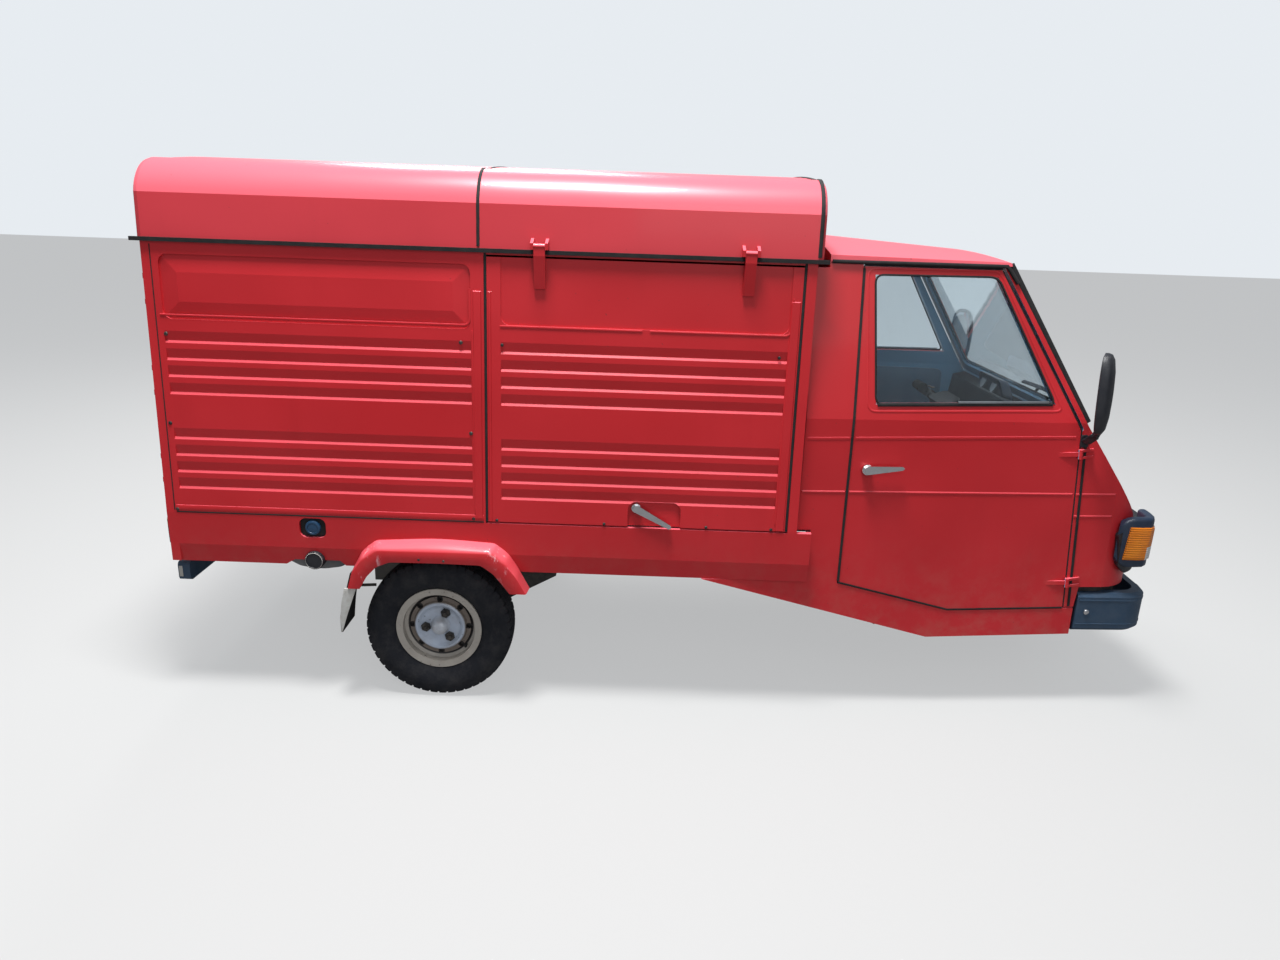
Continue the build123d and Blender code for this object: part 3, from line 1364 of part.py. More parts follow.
ear_gap = 0.6
roof_lean = (roof_shoulder_z - box_top_z) / 9
ear_thick = 9
with BuildPart() as flap_hinge_ears:
    for x in strap_places:
        for start in (x - strap_width / 2 - ear_gap - ear_thick, x + strap_width / 2 + ear_gap):
            with BuildSketch(Plane.YZ.offset(start)):
                with BuildLine():
                    Polyline((-box_half_top + 8 / roof_lean, box_top_z + 8),
                             (-flap_hinge_y - 8, box_top_z + 8),
                             (-flap_hinge_y - 8, flap_hinge_z + 9),
                             (-box_half_top + (flap_hinge_z + 22 - box_top_z) / roof_lean,
                              flap_hinge_z + 22),
                             close=True)
                make_face()
            extrude(amount=ear_thick)
flap_hinge_ears.part.label = "flap_hinge_ears"
export_step(flap_hinge_ears.part, "parts/flap_hinge_ears.step")

# Skirts under the load box, cut round the rear wheels; the right one has the filler recess and cut-out
arch_outline = [
    (rear_axle_x - 264, tyre_radius + 153),
    (rear_axle_x - 264, tyre_radius + 208),
    (rear_axle_x - 162, tyre_radius + 316),
    (rear_axle_x + 184, tyre_radius + 316),
    (rear_axle_x + 293, tyre_radius + 208),
    (rear_axle_x + 293, tyre_radius + 153),
]
skirt_section = [
    (-box_half_low, box_low_z),
    (-box_half_low, skirt_fold_z),
    (-box_half_low + skirt_tuck, skirt_low_z),
    (-box_half_low + skirt_tuck + skirt_thick, skirt_low_z),
    (-box_half_low + skirt_thick, skirt_fold_z),
    (-box_half_low + skirt_thick, box_low_z),
]
filler_at = (rear_axle_x - 395, skirt_fold_z + 69)
filler_size = (86, 66)
filler_depth = 12
notch_outline = [
    (rear_axle_x - 496, skirt_low_z - 2),
    (rear_axle_x - 464, skirt_low_z + 18),
    (rear_axle_x - 315, skirt_low_z + 18),
    (rear_axle_x - 296, skirt_low_z - 2),
]
with BuildPart() as skirt_pair:
    with BuildSketch(Plane.YZ.offset(box_rear_x + box_wall)):
        with BuildLine():
            Polyline(*skirt_section, close=True)
        make_face()
    extrude(amount=cab_rear_x - 3 - box_rear_x - box_wall)
    with BuildSketch(Plane.XZ.offset(box_half_low - 90)):
        with BuildLine():
            Polyline(*arch_outline, close=True)
        make_face()
    extrude(amount=150, mode=Mode.SUBTRACT)
    mirror(about=Plane.XZ)
with BuildPart() as box_skirts:
    add(skirt_pair.part)
    with BuildSketch(Plane.XZ.offset(box_half_low - filler_depth)):
        with Locations(filler_at):
            RectangleRounded(*filler_size, 22)
    extrude(amount=50, mode=Mode.SUBTRACT)
    with BuildSketch(Plane.XZ.offset(box_half_low - 90)):
        with BuildLine():
            Polyline(*notch_outline, close=True)
        make_face()
    extrude(amount=150, mode=Mode.SUBTRACT)
box_skirts.part.label = "box_skirts"
export_step(box_skirts.part, "parts/box_skirts.step")

# Wheel flares: a pressed shelf with a turned-down lip, following the arch
flare_reach = 50
flare_skin = 12
flare_lip = 42
flare_rear = (rear_axle_x - 280, tyre_radius + 165)
flare_top = (rear_axle_x - 167, rear_axle_x + 190, tyre_radius + 330)
flare_front = (rear_axle_x + 311, tyre_radius + 173)


def flare_inner(depth, radius):
    """The space under the flare: its outline moved in by a depth and run down past its feet."""
    foot_z = flare_rear[1] - 17
    top_z = flare_top[2] - depth
    with BuildSketch() as space:
        with BuildLine():
            FilletPolyline((flare_rear[0] + depth, foot_z), (flare_top[0] + depth / 2, top_z),
                           (flare_top[1] - depth / 2, top_z), (flare_front[0] - depth, foot_z),
                           radius=radius)
            Line((flare_rear[0] + depth, foot_z), (flare_front[0] - depth, foot_z))
        make_face()
    return space.sketch


with BuildPart() as wheel_flares:
    with BuildSketch(Plane.XZ.offset(box_half_low)):
        with BuildLine():
            FilletPolyline(flare_rear, (flare_top[0], flare_top[2]), (flare_top[1], flare_top[2]),
                           flare_front, radius=45)
            Line(flare_rear, flare_front)
        make_face()
    extrude(amount=flare_reach)
    with BuildSketch(Plane.XZ.offset(box_half_low - 1)):
        add(flare_inner(flare_skin, 35))
    extrude(amount=flare_reach - flare_skin + 1, mode=Mode.SUBTRACT)
    with BuildSketch(Plane.XZ.offset(box_half_low - 1)):
        add(flare_inner(flare_lip, 25))
    extrude(amount=2 * flare_reach, mode=Mode.SUBTRACT)
    mirror(about=Plane.XZ)
wheel_flares.part.label = "wheel_flares"
export_step(wheel_flares.part, "parts/wheel_flares.step")

mud_flap_x = rear_axle_x - 278
mud_flap_low_z = 250
mud_flap_slant = 24
with BuildPart() as mud_flaps:
    with BuildSketch(Plane.XZ.offset(rear_track / 2 - 17)):
        with BuildLine():
            Polyline((mud_flap_x - 8, skirt_low_z - running_gap), (mud_flap_x, skirt_low_z - running_gap),
                     (mud_flap_x - mud_flap_slant, mud_flap_low_z),
                     (mud_flap_x - mud_flap_slant - 8, mud_flap_low_z), close=True)
        make_face()
    extrude(amount=124)
    mirror(about=Plane.XZ)
mud_flaps.part.label = "mud_flaps"
export_step(mud_flaps.part, "parts/mud_flaps.step")

# Tail lamps and rear bumper
tail_lamp_at = (130 - box_half_low, skirt_low_z + 93)
tail_lamp_size = (190, 96)
with BuildPart() as tail_lamps:
    with BuildSketch(Plane.YZ.offset(box_rear_x)):
        with Locations(tail_lamp_at):
            RectangleRounded(*tail_lamp_size, 12)
    extrude(amount=-22)
    mirror(about=Plane.XZ)
tail_lamps.part.label = "tail_lamps"
export_step(tail_lamps.part, "parts/tail_lamps.step")

rear_bumper_z = 405
rear_bumper_height = 66
stay_thick = 40
stay_outline = [
    (box_rear_x + 20, rear_bumper_z - 29),
    (box_rear_x + 20, rear_bumper_z + 29),
    (chassis_rear_x + 80, rail_low_z),
    (chassis_rear_x + 140, rail_low_z),
    (box_rear_x + 60, rear_bumper_z - 29),
]
with BuildPart() as rear_bumper:
    with BuildSketch(Plane.YZ.offset(box_rear_x - 20)):
        with Locations((0, rear_bumper_z)):
            RectangleRounded(2 * (box_half_low - 60), rear_bumper_height, 14)
    extrude(amount=40)
    for side in (-1, 1):
        with BuildSketch(Plane.XZ.offset(side * rail_y - stay_thick / 2)):
            with BuildLine():
                Polyline(*stay_outline, close=True)
            make_face()
        extrude(amount=stay_thick)
rear_bumper.part.label = "rear_bumper"
export_step(rear_bumper.part, "parts/rear_bumper.step")

# Inside the cab: bench and dashboard
seat_length = 400
bench_half = cab_half - 150
with BuildPart() as seat_cushion:
    with BuildSketch(Plane.XY.offset(seat_deck_z + running_gap)):
        with Locations((deck_rear_x + 4 + seat_length / 2, 0)):
            RectangleRounded(seat_length, 2 * bench_half, 40)
    extrude(amount=110)
    fillet(edges().group_by(Axis.Z)[-1], 30)
seat_cushion.part.label = "seat_cushion"
export_step(seat_cushion.part, "parts/seat_cushion.step")

back_x = deck_rear_x + running_gap
back_low_z = seat_deck_z + 129
back_height = 350
with BuildPart() as seat_backrest:
    with BuildSketch(Plane.XZ.offset(-bench_half)):
        with BuildLine():
            Polyline((back_x, back_low_z), (back_x + 89, back_low_z),
                     (back_x + 62, back_low_z + back_height),
                     (back_x, back_low_z + back_height), close=True)
        make_face()
        fillet(vertices().group_by(Axis.X)[-1], 25)
    extrude(amount=2 * bench_half)
seat_backrest.part.label = "seat_backrest"
export_step(seat_backrest.part, "parts/seat_backrest.step")

dash_half = cab_side(hinge_x(980), belt_z) - door_thick - seam
with BuildPart() as dashboard:
    with BuildSketch(Plane.XZ.offset(-dash_half)):
        with BuildLine():
            Polyline((cowl_foot[0] - 143, cowl_foot[1]), (cowl_foot[0] - running_gap, cowl_foot[1]),
                     (cowl_head[0] - running_gap, cowl_head[1]),
                     (cowl_head[0] - 51, cowl_head[1] - 13), close=True)
        make_face()
    extrude(amount=2 * dash_half)
dashboard.part.label = "dashboard"
export_step(dashboard.part, "parts/dashboard.step")

# Mirrors: a tall tilted head with a rounded back, on a short arm from the foot of each front post
mirror_x = nose_tip_x - 294
mirror_y = cab_half
mirror_tilt = 6
mirror_yaw = 16
mirror_size = (120, 270)
mirror_back = (84, 226)
arm_foot_z = belt_z - 80
head_plane = Plane(
    origin=(mirror_x, -mirror_y, belt_z + 100),
    x_dir=(sin(radians(mirror_yaw)), cos(radians(mirror_yaw)), 0),
    z_dir=(
        cos(radians(mirror_tilt)) * cos(radians(mirror_yaw)),
        -cos(radians(mirror_tilt)) * sin(radians(mirror_yaw)),
        -sin(radians(mirror_tilt)),
    ),
)
with BuildPart() as mirrors:
    with BuildSketch(head_plane):
        RectangleRounded(*mirror_size, 24)
    extrude(amount=10)
    with BuildSketch(head_plane.offset(10)):
        RectangleRounded(*mirror_size, 24)
    with BuildSketch(head_plane.offset(30)):
        RectangleRounded(*mirror_back, 20)
    loft()
    with BuildSketch(Plane.YZ.offset(mirror_x)):
        with BuildLine():
            Polyline((-cab_side(mirror_x, arm_foot_z) - running_gap, arm_foot_z),
                     (5 - mirror_y, arm_foot_z + 55),
                     (12 - mirror_y, arm_foot_z + 85),
                     (-cab_side(mirror_x, arm_foot_z + 35) - running_gap, arm_foot_z + 35), close=True)
        make_face()
    extrude(amount=16)
    mirror(about=Plane.XZ)
mirrors.part.label = "mirrors"
export_step(mirrors.part, "parts/mirrors.step")
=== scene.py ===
# %% [markdown]
# # A three wheeled light van, dressed in Blender
# The solid model comes in first as a fixed frame: every panel, wheel and door is already where it
# belongs, in metres. This lesson gives those panels their paint, glass and rubber, and adds the
# thin things that a solid model leaves out: seals, screws, tyre tread, trim and stuffed seats.
# Working on a frame that never moves means each new piece can be placed by a few numbers.

# %% Load the frame
import json
import math

import bmesh
import bpy
import numpy as np
from mathutils import Matrix, Vector


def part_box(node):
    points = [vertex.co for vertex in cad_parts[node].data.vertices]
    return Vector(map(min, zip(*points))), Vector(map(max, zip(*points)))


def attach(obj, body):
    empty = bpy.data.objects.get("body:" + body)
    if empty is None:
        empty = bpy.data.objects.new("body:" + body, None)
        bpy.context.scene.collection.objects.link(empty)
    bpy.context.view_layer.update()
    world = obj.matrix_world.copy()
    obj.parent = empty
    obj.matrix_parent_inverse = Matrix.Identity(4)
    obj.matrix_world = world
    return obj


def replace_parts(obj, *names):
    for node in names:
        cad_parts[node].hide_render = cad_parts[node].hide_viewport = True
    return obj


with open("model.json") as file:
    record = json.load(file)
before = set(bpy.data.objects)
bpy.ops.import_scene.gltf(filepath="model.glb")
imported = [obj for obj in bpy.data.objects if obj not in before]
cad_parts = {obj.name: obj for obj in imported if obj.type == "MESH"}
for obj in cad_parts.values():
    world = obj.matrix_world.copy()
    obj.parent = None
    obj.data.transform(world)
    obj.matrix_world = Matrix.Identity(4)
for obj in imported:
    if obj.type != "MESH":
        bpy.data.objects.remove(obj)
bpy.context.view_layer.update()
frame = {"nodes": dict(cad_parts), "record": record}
nodes = frame["nodes"]
right, left = -1, 1
both_sides = ((right, "right"), (left, "left"))

# %% [markdown]
# ## Camera
# The camera stands close beside the van at eye height and looks a little down at it. A lens of
# 25 mm on a 36 mm sensor gives the strong perspective of such a near view, and the small roll about
# the line of sight makes the body's long lines run down to the right. A camera could be aimed by a
# constraint at a target, but a written matrix is exact and is easy to read again.

# %% Place the camera
view_camera = bpy.data.objects.new("view_camera", bpy.data.cameras.new("view_camera"))
bpy.context.scene.collection.objects.link(view_camera)
view_camera.data.lens = 24.98
view_camera.data.sensor_width = 36.0
camera_place, pitch_down, roll = (-0.115, -3.391, 1.621), 16.9, 2.0
view_camera.matrix_world = (
    Matrix.Translation(camera_place)
    @ Matrix.Rotation(math.radians(90 - pitch_down), 4, "X")
    @ Matrix.Rotation(math.radians(roll), 4, "Z")
)
bpy.context.scene.camera = view_camera
bpy.context.scene.view_settings.view_transform = "Standard"
print("camera looks down by", pitch_down, "degrees")

# %% [markdown]
# ## Nodes for a finish
# Every finish is a small tree of nodes that ends in one Principled shader. Two helpers keep the
# trees short: one adds a node and fills its sockets, the other starts a finish. Numbers that are
# the same all over a surface go straight onto the shader, so that an export keeps them.


# %% Nodes and new finishes
def add_node(tree, kind, sockets=(), **settings):
    """Adds a node, sets its properties, and fills each named socket with a value or a link."""
    made = tree.nodes.new(kind)
    for key, value in settings.items():
        setattr(made, key, value)
    for key, value in dict(sockets).items():
        if isinstance(value, bpy.types.NodeSocket):
            tree.links.new(value, made.inputs[key])
        else:
            made.inputs[key].default_value = value
    return made


def start_finish(name, rough, metal=0.0, **shader_values):
    """A new material with its Principled shader's own numbers set; returns it with its tree and shader."""
    made = bpy.data.materials.new(name)
    made.use_nodes = True
    tree = made.node_tree
    shader = tree.nodes["Principled BSDF"]
    shader.inputs["Roughness"].default_value = rough
    shader.inputs["Metallic"].default_value = metal
    for key, value in shader_values.items():
        shader.inputs[key.replace("_", " ")].default_value = value
    return made, tree, shader


print("node helpers ready")

# %% [markdown]
# ## Patterns and relief
# The trees are built from a few small moves. Noise gives a pattern, a ramp keeps the part of it that
# is wanted, a sum or product joins two patterns, and a mix lays one colour over another where the
# pattern says. Relief tilts the light by a height, so fine grain costs no faces.


# %% Noise, ramps, mixes and relief
def noise(tree, scale, detail=3.0, rough=0.55, stretch=(1, 1, 1)):
    """Noise in the object's own coordinates, as a socket from 0 to 1; stretch squeezes it per axis."""
    place = add_node(tree, "ShaderNodeTexCoord")
    turn = add_node(tree, "ShaderNodeMapping", {"Vector": place.outputs["Object"], "Scale": stretch})
    cloud = add_node(
        tree, "ShaderNodeTexNoise",
        {"Vector": turn.outputs["Vector"], "Scale": scale, "Detail": detail, "Roughness": rough},
    )
    return cloud.outputs["Fac"]


def ramp(tree, value, low, high):
    """A socket that goes from 0 to 1 while its input goes from low to high."""
    spread = add_node(tree, "ShaderNodeMapRange", {"Value": value, "From Min": low, "From Max": high})
    spread.clamp = True
    return spread.outputs["Result"]


def times(tree, a, b, operation="MULTIPLY"):
    """Arithmetic of two sockets or numbers, multiplied unless another operation is named."""
    sum_node = add_node(tree, "ShaderNodeMath", {0: a, 1: b}, operation=operation)
    return sum_node.outputs[0]


def mix(tree, factor, a, b):
    """Colour a where the factor is 0 and colour b where it is 1."""
    blend = add_node(tree, "ShaderNodeMix", {}, data_type="RGBA")
    for socket, value in ((blend.inputs[0], factor), (blend.inputs[6], a), (blend.inputs[7], b)):
        if isinstance(value, bpy.types.NodeSocket):
            tree.links.new(value, socket)
        else:
            socket.default_value = value if isinstance(value, float) else (*value, 1.0)
    return blend.outputs[2]


def coordinate(tree, axis):
    """The object's own X, Y or Z coordinate in metres, as a socket."""
    place = add_node(tree, "ShaderNodeTexCoord")
    parts = add_node(tree, "ShaderNodeSeparateXYZ", {"Vector": place.outputs["Object"]})
    return parts.outputs[axis]


def bump(tree, shader, height, depth):
    """Lets a height from 0 to 1 tilt the surface as relief of the given depth in metres would."""
    relief = add_node(tree, "ShaderNodeBump", {"Height": height, "Distance": depth, "Strength": 1.0})
    tree.links.new(relief.outputs["Normal"], shader.inputs["Normal"])


def colour(tree, shader, socket):
    """Links a colour socket to the shader's base colour."""
    tree.links.new(socket, shader.inputs["Base Color"])


def ribs(tree, shader, direction, scale, depth):
    """Relief of even waves across one axis of the object."""
    place = add_node(tree, "ShaderNodeTexCoord")
    sockets = {"Vector": place.outputs["Object"], "Scale": scale, "Distortion": 0.0}
    wave = add_node(tree, "ShaderNodeTexWave", sockets, bands_direction=direction)
    bump(tree, shader, wave.outputs["Fac"], depth)


print("material helpers ready")

# %% [markdown]
# ## Sky
# The van stands under an even white sky. Light Path tells what kind of ray asks: a ray from the
# camera, or one that went through the glass, sees a pale plain backdrop, and all others get the
# weaker sky light. So the backdrop is pale without any more light falling on the paint.

# %% World
sky_strength = 0.36
world = bpy.data.worlds.new("studio_sky")
world.use_nodes = True
sky_tree = world.node_tree
sky_light = sky_tree.nodes["Background"]
sky_light.inputs["Color"].default_value = (0.86, 0.92, 1.0, 1.0)
sky_light.inputs["Strength"].default_value = sky_strength
backdrop = add_node(sky_tree, "ShaderNodeBackground", {"Color": (0.80, 0.84, 0.88, 1.0)})
ray = add_node(sky_tree, "ShaderNodeLightPath").outputs
seen = times(sky_tree, ray["Is Camera Ray"], ray["Is Transmission Ray"], "MAXIMUM")
switch = add_node(sky_tree, "ShaderNodeMixShader", {0: seen, 1: sky_light.outputs[0], 2: backdrop.outputs[0]})
sky_tree.links.new(switch.outputs[0], sky_tree.nodes["World Output"].inputs["Surface"])
bpy.context.scene.world = world
print("sky strength", sky_strength)

# %% [markdown]
# ## Lamps
# Three square lamps give the panels their shape, as an overcast day with a bright patch does. A
# strong one hangs high over the near side and lights the roofs most. A wide weak one stands in front
# of that side, and the last keeps the far side from going black. An area lamp's shadow has a soft
# edge that follows from its size, where a sun would need an angle.


# %% Lamps
def make_lamp(name, place, target, size, power):
    """A square area lamp that faces a target point."""
    data = bpy.data.lights.new(name, "AREA")
    data.size, data.energy = size, power
    lamp = bpy.data.objects.new(name, data)
    lamp.location = place
    lamp.rotation_euler = (Vector(target) - Vector(place)).to_track_quat("-Z", "Y").to_euler()
    bpy.context.scene.collection.objects.link(lamp)
    print(name, power, "W")


make_lamp("high_lamp", (-0.6, -1.42, 6.2), (0.0, -0.3, 0.8), 1.3, 600.0)
make_lamp("near_lamp", (1.2, -5.6, 3.6), (0.0, 0.0, 0.6), 3.2, 66.0)
make_lamp("far_lamp", (-1.5, 4.2, 4.6), (0.0, 0.0, 0.8), 2.4, 160.0)

# %% [markdown]
# ## Floor
# A pale floor would throw its own light up into the panels. Light Path again parts the rays: those
# that bounce off the paint find a dark floor, and the camera finds a pale one with a share of plain
# glow in it, which keeps the shadow soft and light.

# %% Floor
floor_half, glow_share = 30.0, 0.55
floor_mesh = bpy.data.meshes.new("studio_floor")
square = [(-floor_half, -floor_half, 0), (floor_half, -floor_half, 0), (floor_half, floor_half, 0),
          (-floor_half, floor_half, 0)]
floor_mesh.from_pydata(square, [], [(0, 1, 2, 3)])
floor = bpy.data.objects.new("studio_floor", floor_mesh)
bpy.context.scene.collection.objects.link(floor)
pale, floor_tree, floor_shader = start_finish("studio_floor_grey", 0.9)
ray = add_node(floor_tree, "ShaderNodeLightPath").outputs
mirrored = times(floor_tree, ray["Is Glossy Ray"], ray["Is Transmission Ray"], "GREATER_THAN")
hidden = times(floor_tree, ray["Is Diffuse Ray"], mirrored, "MAXIMUM")
colour(floor_tree, floor_shader, mix(floor_tree, hidden, (0.46, 0.46, 0.45), (0.16, 0.16, 0.16)))
glow = add_node(floor_tree, "ShaderNodeEmission", {"Color": (0.84, 0.85, 0.86, 1.0)})
share = add_node(floor_tree, "ShaderNodeMapRange", {"Value": hidden, "To Min": glow_share, "To Max": 0.0})
blend = {0: share.outputs["Result"], 1: floor_shader.outputs[0], 2: glow.outputs[0]}
blend = add_node(floor_tree, "ShaderNodeMixShader", blend)
floor_tree.links.new(blend.outputs[0], floor_tree.nodes["Material Output"].inputs["Surface"])
floor_mesh.materials.append(pale)
print("floor", 2 * floor_half, "m wide")

# %% [markdown]
# ## Body paint
# The body is painted one bright red. The colour is not the same all over: it drifts a little between
# a deep and a faded red, road dust lies on the lower panels, and tiny stone chips show the dark
# primer. Faces that look up, and the leaning sides of the roofs, are made paler and pinker as
# painted light, for the sky's reflection and the sun on them. Sheet metal of this kind is never quite
# flat either, so a very low, wide noise bends the reflections as shallow dents do. All of it reads
# object coordinates, which works on loose panels that have no UV map.


# %% The red paint
def make_body_paint(name, middle=None, corner_highlight_x=None):
    """Red drifting to faded red, painted sky light where it faces up; then dust, chips, painted corner highlights,
    and an inner blue lit by painted sunlight.
    """
    made, tree, shader = start_finish(name, 0.34, Coat_Weight=0.12, Coat_Roughness=0.08)
    shader.inputs["Specular IOR Level"].default_value = 0.26
    tone = mix(tree, ramp(tree, noise(tree, 1.3, 3), 0.35, 0.70), (0.46, 0.016, 0.021), (0.53, 0.024, 0.031))
    streaks = ramp(tree, noise(tree, 8.0, 4, 0.6, (1, 1, 0.10)), 0.58, 0.85)
    tone = mix(tree, times(tree, streaks, 0.22), tone, (0.36, 0.012, 0.016))
    place = add_node(tree, "ShaderNodeTexCoord")
    faces = add_node(tree, "ShaderNodeSeparateXYZ", {"Vector": place.outputs["Normal"]})
    # Painted light: faces that look up, and the roof's leaning sides, turn paler pink for the sky's reflection and
    # the sun.
    roofs = times(tree, ramp(tree, coordinate(tree, "Z"), 1.480, 1.495), ramp(tree, faces.outputs["Z"], 0.02, 0.22))
    painted_sky_light = times(tree, ramp(tree, faces.outputs["Z"], 0.30, 0.90), roofs, "MAXIMUM")
    tone = mix(tree, times(tree, painted_sky_light, 0.72), tone, (0.80, 0.150, 0.195))
    low_panels = ramp(tree, coordinate(tree, "Z"), 0.62, 0.22)
    dust = times(tree, low_panels, ramp(tree, noise(tree, 18.0, 7, 0.70), 0.42, 0.80))
    tone = mix(tree, times(tree, dust, 0.30), tone, (0.32, 0.22, 0.17))
    chips = ramp(tree, noise(tree, 120.0, 2, 0.4), 0.785, 0.795)
    tone = mix(tree, times(tree, chips, 0.7), tone, (0.05, 0.03, 0.03))
    # Painted highlights: pale pink marks, broken up by noise, on the rounded corners of the wheel flares.
    if corner_highlight_x:
        span = times(tree, times(tree, coordinate(tree, "X"), corner_highlight_x, "SUBTRACT"), 0.0, "ABSOLUTE")
        corner = times(tree, ramp(tree, span, 0.160, 0.182), ramp(tree, span, 0.262, 0.215))
        highlight_marks = ramp(tree, noise(tree, 34.0, 6, 0.7, (1, 1, 0.5)), 0.58, 0.68)
        tone = mix(tree, times(tree, times(tree, corner, highlight_marks), 0.75), tone, (0.74, 0.42, 0.46))
    if middle:
        away = add_node(tree, "ShaderNodeVectorMath", {1: place.outputs["Object"]}, operation="SUBTRACT")
        away.inputs[0].default_value = middle
        level = add_node(tree, "ShaderNodeVectorMath", {0: away.outputs[0]}, operation="MULTIPLY")
        level.inputs[1].default_value = (1.0, 1.0, 0.1)
        facing = add_node(
            tree, "ShaderNodeVectorMath", {0: place.outputs["Normal"], 1: level.outputs[0]}, operation="DOT_PRODUCT"
        )
        downward = ramp(tree, faces.outputs["Z"], -0.5, -0.7)
        ceiling = times(tree, ramp(tree, coordinate(tree, "Z"), 1.42, 1.46), downward)
        inside = times(tree, ramp(tree, facing.outputs["Value"], 0.10, 0.16), ceiling, "MAXIMUM")
        # The inside's blue-grey is its own paint, made lighter than that paint as painted sunlight on the inside.
        inner = mix(tree, ramp(tree, noise(tree, 3.0, 4), 0.35, 0.70), (0.145, 0.305, 0.460), (0.175, 0.345, 0.500))
        tone = mix(tree, inside, tone, inner)
    colour(tree, shader, tone)
    dents = times(tree, noise(tree, 2.2, 1), times(tree, noise(tree, 420.0, 2), 0.0015), "ADD")
    bump(tree, shader, dents, 0.010)
    return made


paint = make_body_paint("red_paint")
cab_paint = make_body_paint("red_paint_blue_inside", (0.90, 0.0, 0.95))
flare_paint = make_body_paint("red_paint_corner_highlights", corner_highlight_x=-0.7735)
print("made", paint.name, cab_paint.name, flare_paint.name)

# %% [markdown]
# ## Plain finishes: rubber, plastics, metals, cloth
# The other finishes share one recipe. Each has a main tone, a second tone that patches of noise
# bring out, a film of dust, and a fine relief for grain. Writing the recipe once and keeping its
# numbers in a table makes it easy to compare finishes and to tune one without touching another.


# %% One recipe for many finishes
def make_finish(name, rough, metal, tones, patch, dust, grain, relief, **shader_values):
    """Main tone to second tone by patches, then dust by a finer noise; grain noise as relief."""
    made, tree, shader = start_finish(name, rough, metal, **shader_values)
    tone = mix(tree, ramp(tree, noise(tree, patch, 4), 0.38, 0.68), *tones)
    film = ramp(tree, noise(tree, 4 * patch, 6, 0.65), 0.40, 0.80)
    tone = mix(tree, times(tree, film, dust), tone, (0.34, 0.29, 0.24))
    colour(tree, shader, tone)
    bump(tree, shader, noise(tree, grain, 3, 0.6), relief)
    return made


recipes = {
    # name: rough, metal, (tone, second tone), patch size, dust, grain, relief
    "black_plastic": (0.45, 0.0, ((0.006, 0.007, 0.011), (0.012, 0.014, 0.020)), 6.0, 0.04, 420.0, 0.0006),
    "grey_plastic": (0.50, 0.0, ((0.015, 0.042, 0.082), (0.026, 0.058, 0.104)), 5.0, 0.06, 520.0, 0.0009),
    "rubber": (0.85, 0.0, ((0.003, 0.003, 0.004), (0.007, 0.007, 0.008)), 8.0, 0.03, 300.0, 0.0006),
    # frame_black is black, and darker still as painted shade for the parts under the body.
    "frame_black": (0.65, 0.0, ((0.007, 0.007, 0.008), (0.014, 0.012, 0.011)), 7.0, 0.15, 180.0, 0.0012),
    "cast": (0.62, 0.7, ((0.16, 0.155, 0.15), (0.10, 0.095, 0.09)), 9.0, 0.35, 240.0, 0.0018),
    "steel": (0.42, 0.9, ((0.30, 0.28, 0.27), (0.20, 0.14, 0.11)), 11.0, 0.25, 200.0, 0.0008),
    "chrome": (0.16, 1.0, ((0.78, 0.78, 0.80), (0.60, 0.60, 0.62)), 9.0, 0.06, 160.0, 0.0002),
    "floor": (0.60, 0.0, ((0.070, 0.085, 0.105), (0.045, 0.055, 0.070)), 4.0, 0.35, 150.0, 0.0010),
    # card_vinyl is the cards' own blue-grey, made lighter as painted sunlight on them.
    "card_vinyl": (0.50, 0.0, ((0.060, 0.125, 0.195), (0.080, 0.155, 0.235)), 6.0, 0.08, 360.0, 0.0008),
    "satin_trim": (0.30, 0.9, ((0.34, 0.36, 0.38), (0.24, 0.25, 0.27)), 12.0, 0.15, 200.0, 0.0002),
    "seat_vinyl": (0.48, 0.0, ((0.020, 0.021, 0.026), (0.032, 0.034, 0.040)), 5.0, 0.10, 380.0, 0.0010),
    "silver_paint": (0.38, 0.35, ((0.40, 0.39, 0.37), (0.30, 0.27, 0.23)), 8.0, 0.45, 140.0, 0.0008),
    "white_paint": (0.55, 0.0, ((0.52, 0.52, 0.50), (0.34, 0.33, 0.30)), 14.0, 0.30, 200.0, 0.0006),
    "blue_plastic": (0.42, 0.0, ((0.006, 0.036, 0.085), (0.009, 0.048, 0.108)), 10.0, 0.04, 300.0, 0.0004),
    "bracket_grey": (0.55, 0.2, ((0.135, 0.145, 0.155), (0.095, 0.100, 0.108)), 12.0, 0.25, 260.0, 0.0008),
    "hub_paint": (0.35, 0.15, ((0.50, 0.53, 0.58), (0.40, 0.42, 0.46)), 16.0, 0.30, 160.0, 0.0004),
    "nut_black": (0.45, 0.5, ((0.018, 0.018, 0.020), (0.05, 0.045, 0.04)), 20.0, 0.25, 200.0, 0.0004),
    "navy_plastic": (0.42, 0.0, ((0.006, 0.018, 0.044), (0.012, 0.028, 0.058)), 6.0, 0.05, 420.0, 0.0005),
    "tank_black": (0.40, 0.2, ((0.008, 0.008, 0.010), (0.020, 0.018, 0.018)), 7.0, 0.25, 160.0, 0.0010),
    "mirror_silver": (0.03, 1.0, ((0.86, 0.88, 0.90), (0.80, 0.82, 0.84)), 5.0, 0.02, 60.0, 0.00005),
    "plate_white": (0.40, 0.0, ((0.72, 0.72, 0.70), (0.60, 0.59, 0.56)), 6.0, 0.15, 160.0, 0.0003),
}
finishes = {name: make_finish(name, *recipe) for name, recipe in recipes.items()}
finishes["red"], finishes["flare_red"] = paint, flare_paint
print("finishes so far:", len(finishes))

# %% [markdown]
# ## Glass and lamp lenses
# Window glass is clear with a faint blue cast, so light passes and the sky still glints on it. Lamp
# lenses are moulded with ribs that spread the light. A wave texture bent into the normal gives
# those ribs without hundreds of tiny faces, and it stays sharp from any distance.


